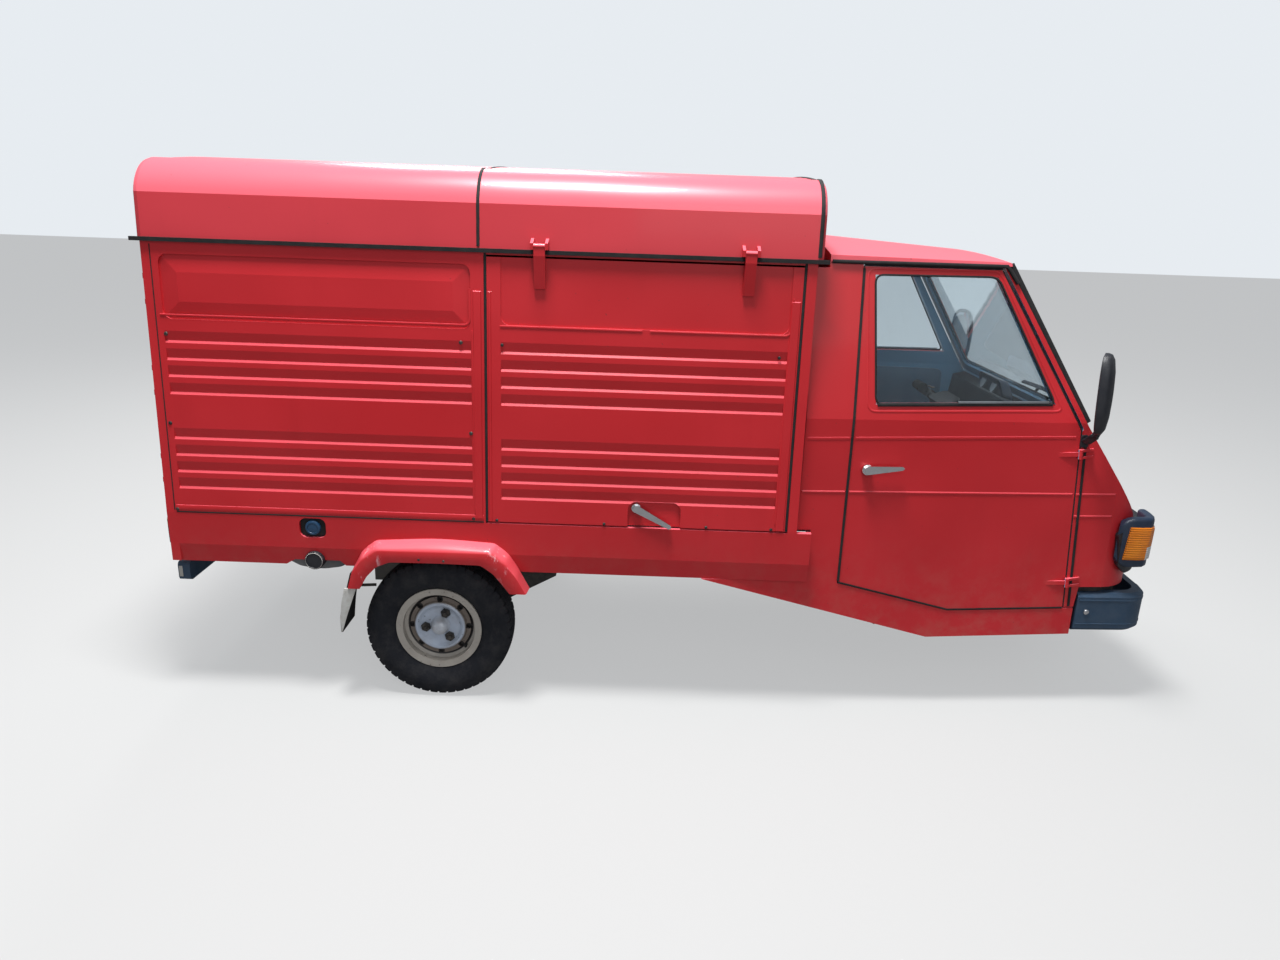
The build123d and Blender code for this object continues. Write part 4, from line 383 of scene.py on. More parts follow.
# %% See-through finishes
def make_clear(name, tone, rough, through, rib_axis=None, rib_scale=0.0, **shader_values):
    """A clear or tinted plastic or glass, with ribs across one axis where a scale is given."""
    made, tree, shader = start_finish(name, rough, 0.0, Transmission_Weight=through, IOR=1.46, **shader_values)
    dirt = ramp(tree, noise(tree, 7.0, 7, 0.7), 0.50, 0.85)
    colour(tree, shader, mix(tree, times(tree, dirt, 0.20), tone, tuple(0.75 * c for c in tone)))
    if rib_axis:
        ribs(tree, shader, rib_axis, rib_scale, 0.002)
    else:
        bump(tree, shader, noise(tree, 5.0, 2), 0.0004)
    return made


finishes["glass"] = make_clear("window_glass", (0.86, 0.94, 0.98), 0.02, 1.0)
finishes["lamp"] = make_clear("lamp_lens", (0.88, 0.90, 0.92), 0.10, 0.55, "Y", 26.0)
finishes["tail_red"] = make_clear("red_lens", (0.50, 0.012, 0.016), 0.16, 0.30, "Y", 30.0)
print("lenses and glass ready")

# %% [markdown]
# ## Lenses of several colours
# The turn lamp and the tail lamp are each one moulding in two or three colours. They could be cut
# into pieces, but the solid is one, so the colour comes from the height over the ground, and for the
# turn lamp from the place along the van too. A ramp 1 or 2 mm long makes each border crisp.


# %% Turn lamp and tail lamp lenses
def make_turn_lens():
    """Amber with upright ribs; its lower front part is white, cut off by height and by place."""
    made, tree, shader = start_finish("turn_lens", 0.17, 0.0, Transmission_Weight=0.15, IOR=1.46)
    split_z, start_x = 0.598, 1.588
    below = ramp(tree, coordinate(tree, "Z"), split_z + 0.001, split_z - 0.001)
    ahead = ramp(tree, coordinate(tree, "X"), start_x - 0.001, start_x + 0.001)
    tone = mix(tree, ramp(tree, noise(tree, 12.0, 4), 0.3, 0.7), (0.86, 0.27, 0.014), (0.70, 0.17, 0.009))
    tone = mix(tree, times(tree, below, ahead), tone, (0.74, 0.72, 0.70))
    colour(tree, shader, tone)
    ribs(tree, shader, "Z", 40.0, 0.0016)
    return made


def make_tail_lens():
    """Red, amber above and clear below, with dark lines between: all from the height over the ground."""
    made, tree, shader = start_finish("tail_lens", 0.16, 0.0, Transmission_Weight=0.12, IOR=1.46)
    low_box, high_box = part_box("tail_lamps")
    height = coordinate(tree, "Z")
    first, second = (low_box.z + share * (high_box.z - low_box.z) for share in (0.26, 0.66))
    tone = mix(tree, ramp(tree, noise(tree, 12.0, 4), 0.3, 0.7), (0.42, 0.010, 0.012), (0.34, 0.008, 0.010))
    tone = mix(tree, ramp(tree, height, second, second + 0.001), tone, (0.80, 0.25, 0.014))
    tone = mix(tree, ramp(tree, height, first + 0.001, first), tone, (0.70, 0.70, 0.70))
    for line in (first, second):
        off = times(tree, times(tree, height, line, "SUBTRACT"), 0.0, "ABSOLUTE")
        tone = mix(tree, ramp(tree, off, 0.0022, 0.0014), tone, (0.010, 0.010, 0.012))
    colour(tree, shader, tone)
    ribs(tree, shader, "Y", 34.0, 0.0016)
    return made


finishes["amber"] = make_turn_lens()
finishes["tail_lamps"] = make_tail_lens()
print("made", finishes["amber"].name, finishes["tail_lamps"].name)

# %% [markdown]
# ## Tyre rubber
# Used rubber is a matt blue black with road dust rubbed into it in patches. It has its own finish,
# because its grain is coarser than that of a seal and it must not shine at the shoulder.


# %% Tyre rubber
def make_tyre_rubber():
    """Black rubber with dust caught in patches."""
    made, tree, shader = start_finish("tyre_rubber", 0.80)
    shader.inputs["Specular IOR Level"].default_value = 0.30
    tone = mix(tree, ramp(tree, noise(tree, 7.0, 5), 0.35, 0.7), (0.004, 0.005, 0.009), (0.011, 0.012, 0.016))
    dust = ramp(tree, noise(tree, 22.0, 7, 0.7), 0.45, 0.75)
    colour(tree, shader, mix(tree, times(tree, dust, 0.10), tone, (0.20, 0.18, 0.16)))
    bump(tree, shader, noise(tree, 240.0, 4, 0.6), 0.0010)
    return made


finishes["tyre"] = make_tyre_rubber()
print("made", finishes["tyre"].name)

# %% [markdown]
# ## Wheel paint
# The pressed wheel wears three tones: a pale blue grey in the middle, a dusty brown on the band with
# the vents, and a beige film on the rim. The tone is a function of the distance from the axle, and
# depth along the axle paints the vent pockets near black as painted shade, as holes look dark. Each
# wheel has its own centre, so it has its own paint.


# %% Wheel paint
wheel_table = {
    # body: (centre of the wheel, outward side)
    "rear_wheel_right": ((-0.776, -0.625, 0.247), right),
    "rear_wheel_left": ((-0.776, 0.625, 0.247), left),
    "front_wheel": ((1.354, 0.0, 0.247), right),
}


def make_wheel_paint(name, centre, out):
    """Tone by distance from the axle; painted shade darkens the vents by distance and depth, and the seam at the
    barrel goes dark.
    """
    made, tree, shader = start_finish(name, 0.40, 0.15)
    x_place = times(tree, coordinate(tree, "X"), centre[0], "SUBTRACT")
    z_place = times(tree, coordinate(tree, "Z"), centre[2], "SUBTRACT")
    squares = times(tree, times(tree, x_place, x_place), times(tree, z_place, z_place), "ADD")
    reach = times(tree, squares, 0.5, "POWER")
    depth = times(tree, times(tree, coordinate(tree, "Y"), centre[1], "SUBTRACT"), float(out))
    tone = mix(tree, ramp(tree, reach, 0.082, 0.087), (0.44, 0.50, 0.60), (0.17, 0.14, 0.12))
    tone = mix(tree, ramp(tree, reach, 0.109, 0.112), tone, (0.40, 0.37, 0.33))
    grime = ramp(tree, noise(tree, 11.0, 6, 0.65), 0.42, 0.78)
    tone = mix(tree, times(tree, grime, 0.45), tone, (0.20, 0.165, 0.14))
    turn = times(tree, times(tree, z_place, x_place, "ARCTAN2"), 8 / (2 * math.pi))
    along = times(tree, times(tree, times(tree, turn, 8.5, "ADD"), 1.0, "MODULO"), 0.5, "SUBTRACT")
    along = times(tree, times(tree, along, reach), 2 * math.pi / 8)
    from_ring = times(tree, reach, 0.0965, "SUBTRACT")
    apart = times(tree, times(tree, along, along), times(tree, from_ring, from_ring), "ADD")
    vent = ramp(tree, times(tree, apart, 0.5, "POWER"), 0.0112, 0.0104)
    # Painted shade: the vent pockets go near black, for the dark seen through the holes.
    sunk = times(tree, ramp(tree, depth, 0.0196, 0.0186), vent, "MAXIMUM")
    vent_shade = times(tree, sunk, ramp(tree, reach, 0.0860, 0.0875))
    seam = times(tree, ramp(tree, reach, 0.103, 0.106), ramp(tree, reach, 0.1125, 0.110))
    dark = times(tree, times(tree, vent_shade, ramp(tree, reach, 0.110, 0.108)), seam, "MAXIMUM")
    specks = times(tree, ramp(tree, noise(tree, 70.0, 3), 0.66, 0.70), 0.5)
    colour(tree, shader, mix(tree, times(tree, dark, specks, "MAXIMUM"), tone, (0.018, 0.016, 0.016)))
    bump(tree, shader, noise(tree, 120.0, 3), 0.0008)
    return made


for body, (centre, out) in wheel_table.items():
    finishes[body] = make_wheel_paint(body + "_paint", centre, out)
print("finishes:", sorted(finishes))

# %% [markdown]
# ## Paint on the frame
# Each panel of the solid model names a material slot. The finish is looked up first by the panel's
# own name, for wheels and tail lamps, and else by that slot. The cab's panels get the paint that
# turns blue on faces that look inwards, since the inside of such a cab is painted another colour.

# %% Dress every panel of the frame
finish_of_slot = {"vinyl": "seat_vinyl"}
for row in frame["record"]["subparts"]:
    panel = nodes[row["node"]]
    chosen = row["node"] if row["node"] in finishes else row["material_slot"]
    chosen = finishes[finish_of_slot.get(chosen, chosen)]
    panel.data.materials.clear()
    panel.data.materials.append(chosen)
nodes["seat_box"].data.materials[0] = finishes["floor"]
cab_shell = ("cab_door_right", "cab_door_left", "windscreen_frame", "cab_roof", "cab_rear_wall",
             "cab_sides", "nose")
for name in cab_shell:
    nodes[name].data.materials[0] = cab_paint
print("dressed", len(nodes), "panels")

# %% [markdown]
# ## Shapes from arrays
# All new pieces are grids of points. A grid has two directions, for example along a rubber strip
# and round its section, and the faces simply join neighbours. Once the points are one array, a
# whole strip, dome or tyre is a single formula, with no loop over points. Where a row of the grid
# shrinks to one point, merging doubles turns it into a neat cap, so every piece is closed. One
# function makes the mesh, paints it, and says which body of the frame the piece rides on.


# %% From grids of points to a piece
def make_piece(name, grids, body, slot, finish=None, smooth=True):
    """Joins grids (points, closed one way, closed the other way) into one mesh on a body of the frame.

    The finish is the one named as the slot, unless another is given.
    """
    points, quads, start = [], [], 0
    for grid, wrap_rows, wrap_columns in grids:
        rows, columns = grid.shape[:2]
        index = np.arange(rows * columns).reshape(rows, columns) + start
        index = np.vstack([index, index[:1]]) if wrap_rows else index
        index = np.hstack([index, index[:, :1]]) if wrap_columns else index
        corners = (index[:-1, :-1], index[1:, :-1], index[1:, 1:], index[:-1, 1:])
        quads.append(np.stack(corners, axis=-1).reshape(-1, 4))
        points.append(grid.reshape(-1, 3))
        start += rows * columns
    mesh = bpy.data.meshes.new(name)
    mesh.from_pydata(np.concatenate(points).tolist(), [], np.concatenate(quads).tolist())
    tidy = bmesh.new()
    tidy.from_mesh(mesh)
    bmesh.ops.remove_doubles(tidy, verts=tidy.verts, dist=2e-6)
    bmesh.ops.recalc_face_normals(tidy, faces=tidy.faces)
    tidy.to_mesh(mesh)
    tidy.free()
    mesh.materials.append(finishes[finish or slot])
    mesh.polygons.foreach_set("use_smooth", np.full(len(mesh.polygons), smooth))
    mesh.update()
    piece = bpy.data.objects.new(name, mesh)
    bpy.context.scene.collection.objects.link(piece)
    if smooth:
        mesh.set_sharp_from_angle(angle=math.radians(38))
    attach(piece, body)
    print(name, "faces", len(mesh.polygons))
    return piece


print("a grid of 2 by 2 points makes 1 face")

# %% [markdown]
# ## Strips
# A rubber, a gutter or an arm is one section carried along a path. At each point of the path two
# cross products give the directions across and outwards, and the section is laid in them. Blender's
# curves can do this too, but here the outward direction can be chosen, so a flat seal stays flat.


# %% Sections carried along a path
def unit(vectors):
    """Vectors scaled to length 1, along the last axis of the array."""
    return vectors / np.maximum(np.linalg.norm(vectors, axis=-1, keepdims=True), 1e-12)


def bar_section(width, height, count=12, square=0.6):
    """A soft cornered oval: half width times cos^square, half height times sin^square, signs kept."""
    angle = np.linspace(0, 2 * np.pi, count, endpoint=False)
    across = np.sign(np.cos(angle)) * np.abs(np.cos(angle)) ** square * width / 2
    rise = np.sign(np.sin(angle)) * np.abs(np.sin(angle)) ** square * height / 2
    return np.stack([across, rise], axis=1)


def strip(path, section, outward, closed=False):
    """Point of the path, plus section x times (way cross outward), plus section y times outward."""
    path = np.asarray(path, float)
    if closed:
        way = unit(np.roll(path, -1, axis=0) - np.roll(path, 1, axis=0))
    else:
        way = unit(np.gradient(path, axis=0))
    outward = np.broadcast_to(np.asarray(outward, float), path.shape)
    side = unit(np.cross(way, outward))
    lift = unit(np.cross(side, way))
    grid = path[:, None] + section[None, :, :1] * side[:, None] + section[None, :, 1:] * lift[:, None]
    if not closed:
        ends = grid.mean(axis=1, keepdims=True)
        grid = np.concatenate([np.repeat(ends[:1], grid.shape[1], 1), grid, np.repeat(ends[-1:], grid.shape[1], 1)])
    return grid, closed, True


def rounded(corners, radius, steps=7):
    """Rounds each corner C with a parabola from A to B beside it: (1-t)^2 A + 2t(1-t) C + t^2 B."""
    corners = np.asarray(corners, float)
    to_last = unit(np.roll(corners, 1, axis=0) - corners)
    to_next = unit(np.roll(corners, -1, axis=0) - corners)
    t = np.linspace(0, 1, steps)[None, :, None]
    a, b, c = (corners + radius * to_last)[:, None], (corners + radius * to_next)[:, None], corners[:, None]
    return ((1 - t) ** 2 * a + 2 * t * (1 - t) * c + t**2 * b).reshape(-1, corners.shape[1])


def filled(path, steps=12):
    """Points added evenly on every run of a path, so that a strip along it bends cleanly."""
    path = np.asarray(path, float)
    t = np.linspace(0, 1, steps, endpoint=False)[None, :, None]
    runs = path[:-1, None] * (1 - t) + path[1:, None] * t
    return np.concatenate([runs.reshape(-1, path.shape[1]), path[-1:]])


print("a strip's usual section has", len(bar_section(1, 1)), "points")

# %% [markdown]
# ## Turned parts and plates
# Caps, nuts and domes are turned from a profile, as on a lathe. Thin plates grow from an outline:
# copies of it shrink towards the middle, and the first few are lifted so that the rim is round.


# %% Turned parts and plates
def turned(profile, centre, axis, count=32):
    """Turns a profile of (radius, height) pairs about an axis through a centre, as a lathe does."""
    profile = np.asarray(profile, float)
    axis = unit(np.asarray(axis, float))
    first = unit(np.cross(axis, (0.31, 0.17, 0.93)))
    second = np.cross(axis, first)
    angle = np.linspace(0, 2 * np.pi, count, endpoint=False)
    ring = np.cos(angle)[:, None] * first + np.sin(angle)[:, None] * second
    grid = (
        np.asarray(centre, float)
        + profile[:, None, :1] * ring[None]
        + profile[:, None, 1:] * axis
    )
    return grid, False, True


def slab(outline, outward, thick, edge=0.002, crown=0.0):
    """A plate on a closed outline: rings shrunk to the middle, lifted by the thickness, its rim rounded."""
    outline = np.asarray(outline, float)
    outward = unit(np.asarray(outward, float))
    middle = outline.mean(axis=0)
    size = np.linalg.norm(outline - middle, axis=1).mean()
    k = edge / size
    scale = np.array([0, 1, 1, 1 - 0.3 * k, 1 - k, 0.8, 0.5, 0.2, 0])
    lift = np.array([0, 0, thick - edge, thick - 0.3 * edge, thick, thick + 0.36 * crown, thick + 0.75 * crown,
                     thick + 0.96 * crown, thick + crown])
    grid = middle + scale[:, None, None] * (outline - middle)[None] + lift[:, None, None] * outward
    return grid, False, True


print("a profile of 5 points turned in 32 steps has", turned(np.ones((5, 2)), (0, 0, 0), (0, 0, 1))[0].shape)

# %% [markdown]
# ## Where the panels are
# Two short formulas give any point of the outer skin. The load box leans in evenly with height. The
# cab gets narrower forwards and leans in more above its belt line. Seals and screws are placed with
# these, so they sit exactly on the metal.

# %% Places on the body
box_low_z, box_top_z, box_half_low, box_half_top = 0.637, 1.490, 0.690, 0.650
cab_rear_x, belt_z, gutter_z = 0.448, 1.010, 1.490
cab_taper, low_lean, high_lean = 0.079, 0.02, 0.155
box_lean = (box_half_low - box_half_top) / (box_top_z - box_low_z)


def box_point(x, z, out=0.0, side=right):
    """Point on the load box's side: half width less the lean times the height, then outwards."""
    x, z = np.broadcast_arrays(np.asarray(x, float), np.asarray(z, float))
    half = box_half_low - box_lean * (z - box_low_z)
    return np.stack([x, side * (half + out), z], axis=-1)


def cab_point(x, z, out=0.0, side=right):
    """Point on the cab's side: 0.650 less 0.079 for each metre forwards, less the two leans."""
    x, z = np.broadcast_arrays(np.asarray(x, float), np.asarray(z, float))
    lean = low_lean * (np.minimum(z, belt_z) - 0.460) + high_lean * np.maximum(z - belt_z, 0)
    return np.stack([x, side * (0.650 - cab_taper * (x - 0.558) - lean + out), z], axis=-1)


screen_foot = np.array([cab_rear_x + 0.882, 0.0, belt_z - 0.010])
screen_head = np.array([cab_rear_x + 0.569, 0.0, gutter_z + 0.009])
screen_up = unit(screen_head - screen_foot)
screen_out = unit(np.array([screen_up[2], 0.0, -screen_up[0]]))


def screen_point(across, up, out=0.0):
    """Point on the windscreen's plane, from across the van and up the slope from its foot."""
    across, up = np.broadcast_arrays(np.asarray(across, float), np.asarray(up, float))
    return screen_foot + across[..., None] * (0, 1, 0) + up[..., None] * screen_up + out * screen_out


box_normal = {side: unit(np.array([0.0, side, box_lean])) for side in (right, left)}
high_cab_normal = {side: unit(np.array([cab_taper, side, high_lean])) for side in (right, left)}
print("windscreen slope", round(math.degrees(math.atan2(screen_up[2], -screen_up[0])), 1), "degrees")

# %% [markdown]
# ## Windscreen and window seals
# Old cabs hold their glass in a black rubber strip with a soft rounded face. It could be a curve
# with a bevel, but a section carried round the rounded outline gives full control of how far it
# stands proud, and its mesh needs no conversion later.

# %% Windscreen seal
screen_long = float(np.linalg.norm(screen_head - screen_foot))
glass_half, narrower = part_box("windscreen")[1].y, 0.047
glass_corners = np.array([
    (-glass_half, 0.038),
    (glass_half, 0.038),
    (glass_half - narrower, screen_long - 0.040),
    (narrower - glass_half, screen_long - 0.040),
])
loop = rounded(glass_corners, 0.045)
seal_path = screen_point(loop[:, 0], loop[:, 1], 0.001)
screen_seal = strip(seal_path, bar_section(0.024, 0.012), screen_out, True)
make_piece("windscreen_seal", [screen_seal], "root", "rubber")

# %% [markdown]
# ## Door windows
# Each side window has a thin rubber round it, and along its lower edge a satin metal strip. The strip
# and the seal sit on the leaning upper part of the door, so they ride on the door and swing with it.

# %% Seals and bright strips of the door windows
window_corners = np.array([
    (cab_rear_x + 0.174, belt_z + 0.047),
    (cab_rear_x + 0.762, belt_z + 0.058),
    (cab_rear_x + 0.536, gutter_z - 0.033),
    (cab_rear_x + 0.144, gutter_z - 0.036),
])
door_of = {right: "cab_door_right", left: "cab_door_left"}
for side, body in door_of.items():
    loop = rounded(window_corners, 0.028)
    ring = cab_point(loop[:, 0], loop[:, 1], 0.0, side)
    seal = strip(ring, bar_section(0.0065, 0.007), high_cab_normal[side], True)
    foot = filled([(cab_rear_x + 0.180, belt_z + 0.047), (cab_rear_x + 0.752, belt_z + 0.058)], 8)
    band = strip(cab_point(foot[:, 0], foot[:, 1], 0.0, side), bar_section(0.012, 0.008), high_cab_normal[side])
    make_piece(body + "_window_seal", [seal, band], body, "rubber")
    sill = filled([(cab_rear_x + 0.440, belt_z + 0.0595), (cab_rear_x + 0.738, belt_z + 0.0650)], 8)
    rail = strip(cab_point(sill[:, 0], sill[:, 1], 0.003, side), bar_section(0.008, 0.005), high_cab_normal[side])
    make_piece(body + "_satin_strip", [rail], body, "chrome", "satin_trim")

# %% [markdown]
# ## Door gaps
# A door's gap shows as a dark line, because a rubber sits a few millimetres inside it. Strips along
# the gap's four edges make that line. On the door itself a thin lip covers the rear and lower edge,
# and it swings with the door.

# %% Rubber in the door gaps
gap_rear = [(cab_rear_x + 0.1075, 0.462), (cab_rear_x + 0.1075, belt_z), (cab_rear_x + 0.1075, gutter_z - 0.018)]
gap_low = [(cab_rear_x + 0.1075, 0.457), (cab_rear_x + 0.494, 0.3590), (cab_rear_x + 0.896, 0.3665)]
gap_front = [
    (cab_rear_x + 0.549, gutter_z - 0.014),
    (cab_rear_x + 0.8605, belt_z - 0.024),
    (cab_rear_x + 0.9005, 0.372),
]
gap_top = [(cab_rear_x + 0.109, gutter_z - 0.0085), (cab_rear_x + 0.548, gutter_z - 0.0085)]
nose_line = [(cab_rear_x + 0.8790, belt_z - 0.040), (cab_rear_x + 0.9185, 0.372)]


def cab_strip(path, out, section, side, steps=14):
    """A strip along (x, z) points laid on the cab's side."""
    line = filled(path, steps)
    return strip(cab_point(line[:, 0], line[:, 1], out, side), section, (0, side, 0))


gap_rubber = bar_section(0.0046, 0.010)
for side, tag in both_sides:
    fixed = [cab_strip(path, -0.004, gap_rubber, side) for path in (gap_rear, gap_low, gap_front, gap_top)]
    fixed.append(cab_strip(nose_line, 0.0012, bar_section(0.009, 0.003), side))
    make_piece("door_gap_rubber_" + tag, fixed, "root", "rubber")
    lips = [cab_strip(gap_rear, 0.0016, bar_section(0.0085, 0.0026), side),
            cab_strip(gap_low, 0.0016, bar_section(0.0065, 0.0026), side)]
    make_piece(door_of[side] + "_lip_rubber", lips, door_of[side], "rubber")

# %% [markdown]
# ## Lower edges of the box
# The wall panels end in a rolled edge over the skirt, which catches the light, and the joint under
# it is a black strip, which also stands for the shade under the roll as painted shade. Both are strips
# on the leaning wall, so one helper lays them, and it serves the panel joints and the beads later.


# %% Rolled lower edges of the box panels
def box_strip(start, end, out, section, side, steps):
    """A straight strip between two (x, z) points laid on the load box's side."""
    line = filled([start, end], steps)
    return strip(box_point(line[:, 0], line[:, 1], out, side), section, box_normal[side])


panel_rear_x = -1.606
panel_front = {right: -0.614, left: 0.352}
for side, tag in both_sides:
    front_x = panel_front[side]
    roll = box_strip((panel_rear_x, 0.6545), (front_x, 0.6545), -0.0005, bar_section(0.018, 0.0045), side, 40)
    make_piece("panel_roll_" + tag, [roll], "root", "red")
    # The black strip marks the joint and, as painted shade, the shade under the rolled edge.
    seam = box_strip((panel_rear_x, 0.6400), (front_x, 0.6400), 0.0002, bar_section(0.0045, 0.0020), side, 40)
    make_piece("panel_seam_and_shade_" + tag, [seam], "root", "rubber")

# %% [markdown]
# ## Edges of the windscreen
# Beside the glass, the pillar's outer edge is covered by a black moulding from the foot of the screen
# to its head. It is one strip between two points of the screen's plane.

# %% Black edge of the windscreen
for side, tag in both_sides:
    foot = screen_point(side * 0.5690, 0.012, 0.003)
    head = screen_point(side * 0.5190, screen_long - 0.006, 0.003)
    edge = strip(filled(np.stack([foot, head]), 24), bar_section(0.020, 0.022), screen_out)
    make_piece("screen_edge_" + tag, [edge], "root", "rubber")

# %% [markdown]
# ## Creases
# The cab's panels have a shallow crease under the windows, on the door and on the post behind it. It
# is a low bead, 1 mm high, painted as the panel is, and split where the panels part. A second bead
# runs round the window opening.

# %% Crease under the windows
bead = bar_section(0.010, 0.002)
window_rim = bar_section(0.007, 0.0024)
for side, tag in both_sides:
    body = door_of[side]
    on_door = cab_strip([(cab_rear_x + 0.118, 0.948), (cab_rear_x + 0.844, 0.962)], 0.0003, bead, side, 20)
    make_piece(body + "_crease", [on_door], body, "red")
    behind = cab_strip([(cab_rear_x - 0.036, 0.945), (cab_rear_x + 0.100, 0.948)], 0.0003, bead, side, 6)
    make_piece("post_crease_" + tag, [behind], "root", "red")
    ring = rounded(window_corners + [(-0.024, -0.022), (0.030, -0.022), (0.006, 0.018), (-0.024, 0.018)], 0.030)
    ring = cab_point(ring[:, 0], ring[:, 1], 0.0, side)
    make_piece(body + "_window_bead", [strip(ring, window_rim, high_cab_normal[side], True)], body, "red")

# %% [markdown]
# ## Upright joints of the box
# The flap on the right has a rubber in the gap before and behind it. On the left the panels meet at
# the same places without a flap, so the line there is narrower and nearly flush.

# %% Rubber round the flap and along the panel joint
joint_places = (-0.604, 0.362)
joint_form = {right: (-0.003, 0.0085), left: (-0.001, 0.0048)}  # how proud, how wide
for side, tag in both_sides:
    proud, wide = joint_form[side]
    runs = [box_strip((x, 0.643), (x, 1.482), proud, bar_section(wide, 0.009), side, 20) for x in joint_places]
    make_piece("panel_joint_rubber_" + tag, runs, "root", "rubber")

# %% [markdown]
# ## Roof edges
# A black rubber gutter strip runs under the roof of the box and another under the roof of the cab.
# The solid model has the first; the second is thin enough to be left to this script. The box roof is
# two pressings, and a strip over their joint and a lip at the front end keep water out.

# %% Cab gutters
for side, tag in both_sides:
    line = filled([(cab_rear_x + 0.006, gutter_z), (cab_rear_x + 0.560, gutter_z)], 16)
    bend = np.array([(cab_rear_x + 0.572, gutter_z - 0.012), (cab_rear_x + 0.600, gutter_z - 0.050)])
    line = np.concatenate([line, bend])
    gutter = strip(cab_point(line[:, 0], line[:, 1], 0.004, side), bar_section(0.012, 0.012), (0, side, 0.2))
    make_piece("cab_gutter_" + tag, [gutter], "root", "rubber")

# %% [markdown]
# ## The roof's arch
# The strip and the lip need the roof's own section. It is a straight side, a tight shoulder arc and a
# wide crown arc. An arc through three known points is easier to fit to a real roof than one given by
# its centre, and complex numbers turn that into one formula.


# %% The arch of the box roof
def arc_through(a, b, c, steps):
    """Points on the circle through three points of a plane, worked out with complex numbers."""
    a, b, c = complex(*a), complex(*b), complex(*c)
    w = (c - a) / (b - a)
    centre = (b - a) * (w - abs(w) ** 2) / (2j * w.imag) + a
    turn = np.angle((c - centre) / (a - centre))
    if np.sign(np.angle((b - centre) / (a - centre))) != np.sign(turn):
        turn -= 2 * np.pi * np.sign(turn)
    points = centre + (a - centre) * np.exp(1j * turn * np.linspace(0, 1, steps))
    return np.stack([points.real, points.imag], axis=1)


def roof_arch(grow=0.0):
    """Section of the box roof from gutter to gutter: side, shoulder arc, crown arc, and mirrored."""
    half, shoulder, crown = box_half_top - 0.009 + grow, box_top_z + 0.135, box_top_z + 0.258 + grow
    side_wall = filled([(half + 0.008, box_top_z + 0.012), (half, shoulder)], 6)
    inner, inner_z = half - 0.150, shoulder + 0.099 + grow
    bend = arc_through((half, shoulder), (half - 0.040, shoulder + 0.070 + grow), (inner, inner_z), 10)
    top = arc_through((inner, inner_z), (0, crown), (-inner, inner_z), 24)
    half_arch = np.concatenate([side_wall[:-1], bend[:-1]])
    return np.concatenate([half_arch, top, half_arch[::-1] * (-1, 1)])


# %% [markdown]
# ## Strips over the roof
# The arch becomes the path of two strips: one over the joint of the two pressings, one along the
# front edge. The outward direction at each point is the arch's own, a quarter turn from its course.

# %% Joint strip and front lip of the box roof
arch = roof_arch(0.0005)
arch_out = unit(np.stack([np.gradient(arch[:, 1]), -np.gradient(arch[:, 0])], axis=1))
arch_out = np.concatenate([np.zeros((len(arch), 1)), arch_out], axis=1)
for name, x, wide, tall in (("roof_joint_strip", -0.624, 0.010, 0.004), ("roof_front_lip", 0.4005, 0.012, 0.006)):
    path = np.concatenate([np.full((len(arch), 1), x), arch], axis=1)
    make_piece(name, [strip(path, bar_section(wide, tall), arch_out)], "root", "rubber")

# %% [markdown]
# ## Screws and bolts
# Small fasteners say how a body is put together. Each head is a low dome with a small round hole
# sunk in it. They are turned from one profile, like a part on a lathe, and many share one mesh.


# %% Fasteners
def screw_grids(points, outward, radius=0.006, height=0.0022):
    """Low domes: a profile in shares of radius and height, with a slot hole, and a foot in the metal."""
    foot = -0.0015
    profile = np.array([(0, 0), (1, 0), (1, 0.3), (0.85, 0.75), (0.5, 1.0), (0.2, 1.0), (0.16, 0.4), (0, 0.4)])
    profile = profile * (radius, height)
    profile[:2, 1] = foot
    return [turned(profile, point, outward, 14) for point in np.atleast_2d(points)]


wall_places = [(-1.587, 1.209), (-0.680, 1.213), (-1.603, 0.649), (-0.647, 0.650), (-1.600, 0.930), (-0.652, 0.930)]
flap_places = [(-0.553, 1.210), (0.300, 1.200), (-0.572, 0.648), (-0.226, 0.648), (0.103, 0.648), (0.313, 0.648)]
wall_screws = box_point(*np.transpose(wall_places), 0.0005)
flap_screws = box_point(*np.transpose(flap_places), 0.0015)
make_piece("box_wall_screws", screw_grids(wall_screws, box_normal[right]), "root", "steel", "nut_black")
make_piece("flap_screws", screw_grids(flap_screws, box_normal[right], 0.005), "side_flap", "steel", "nut_black")
left_screws = wall_screws * (1, -1, 1)
make_piece("box_wall_screws_left", screw_grids(left_screws, box_normal[left]), "root", "steel", "nut_black")
flare_places = np.array([(-0.818, -0.7402, 0.521), (-0.738, -0.7402, 0.519)])
make_piece("flare_screws", screw_grids(flare_places, (0, -1, 0), 0.0042), "root", "steel", "nut_black")

# %% [markdown]
# ## Wheel flares
# A flare is a bent strip of sheet: a sloping top and an upright lip. Two lines describe it, the fold
# at the top of the lip and the lip's lower edge. Both need the same number of points, spaced evenly
# on every run, and softly rounded corners.


# %% Flare shells
def spread(path, count=140):
    """Points at equal shares of a path's length, so two lines can be paired point by point."""
    path = np.asarray(path, float)
    length = np.concatenate([[0], np.cumsum(np.linalg.norm(np.diff(path, axis=0), axis=1))])
    share = np.linspace(0, length[-1], count)
    return np.stack([np.interp(share, length, column) for column in path.T], axis=1)


def softened(path, times_over=3):
    """Each inner point moves to the mean of its neighbours, which rounds the corners."""
    for _ in range(times_over):
        path = np.concatenate([path[:1], (path[:-2] + path[1:-1] + path[2:]) / 3, path[-1:]])
    return path


print("a softened corner:", softened(np.array([(0.0, 0.0), (1.0, 0.0), (1.0, 1.0)]), 1)[1].round(2))

# %% [markdown]
# ## The flare's section
# At every station the section runs from the wall over the fold, down the lip, round its edge and back
# on the inside, 3 mm of sheet apart. Each end closes because its outer points and their inner
# partners move to the middle between them. The left flare is the right one with y reversed.


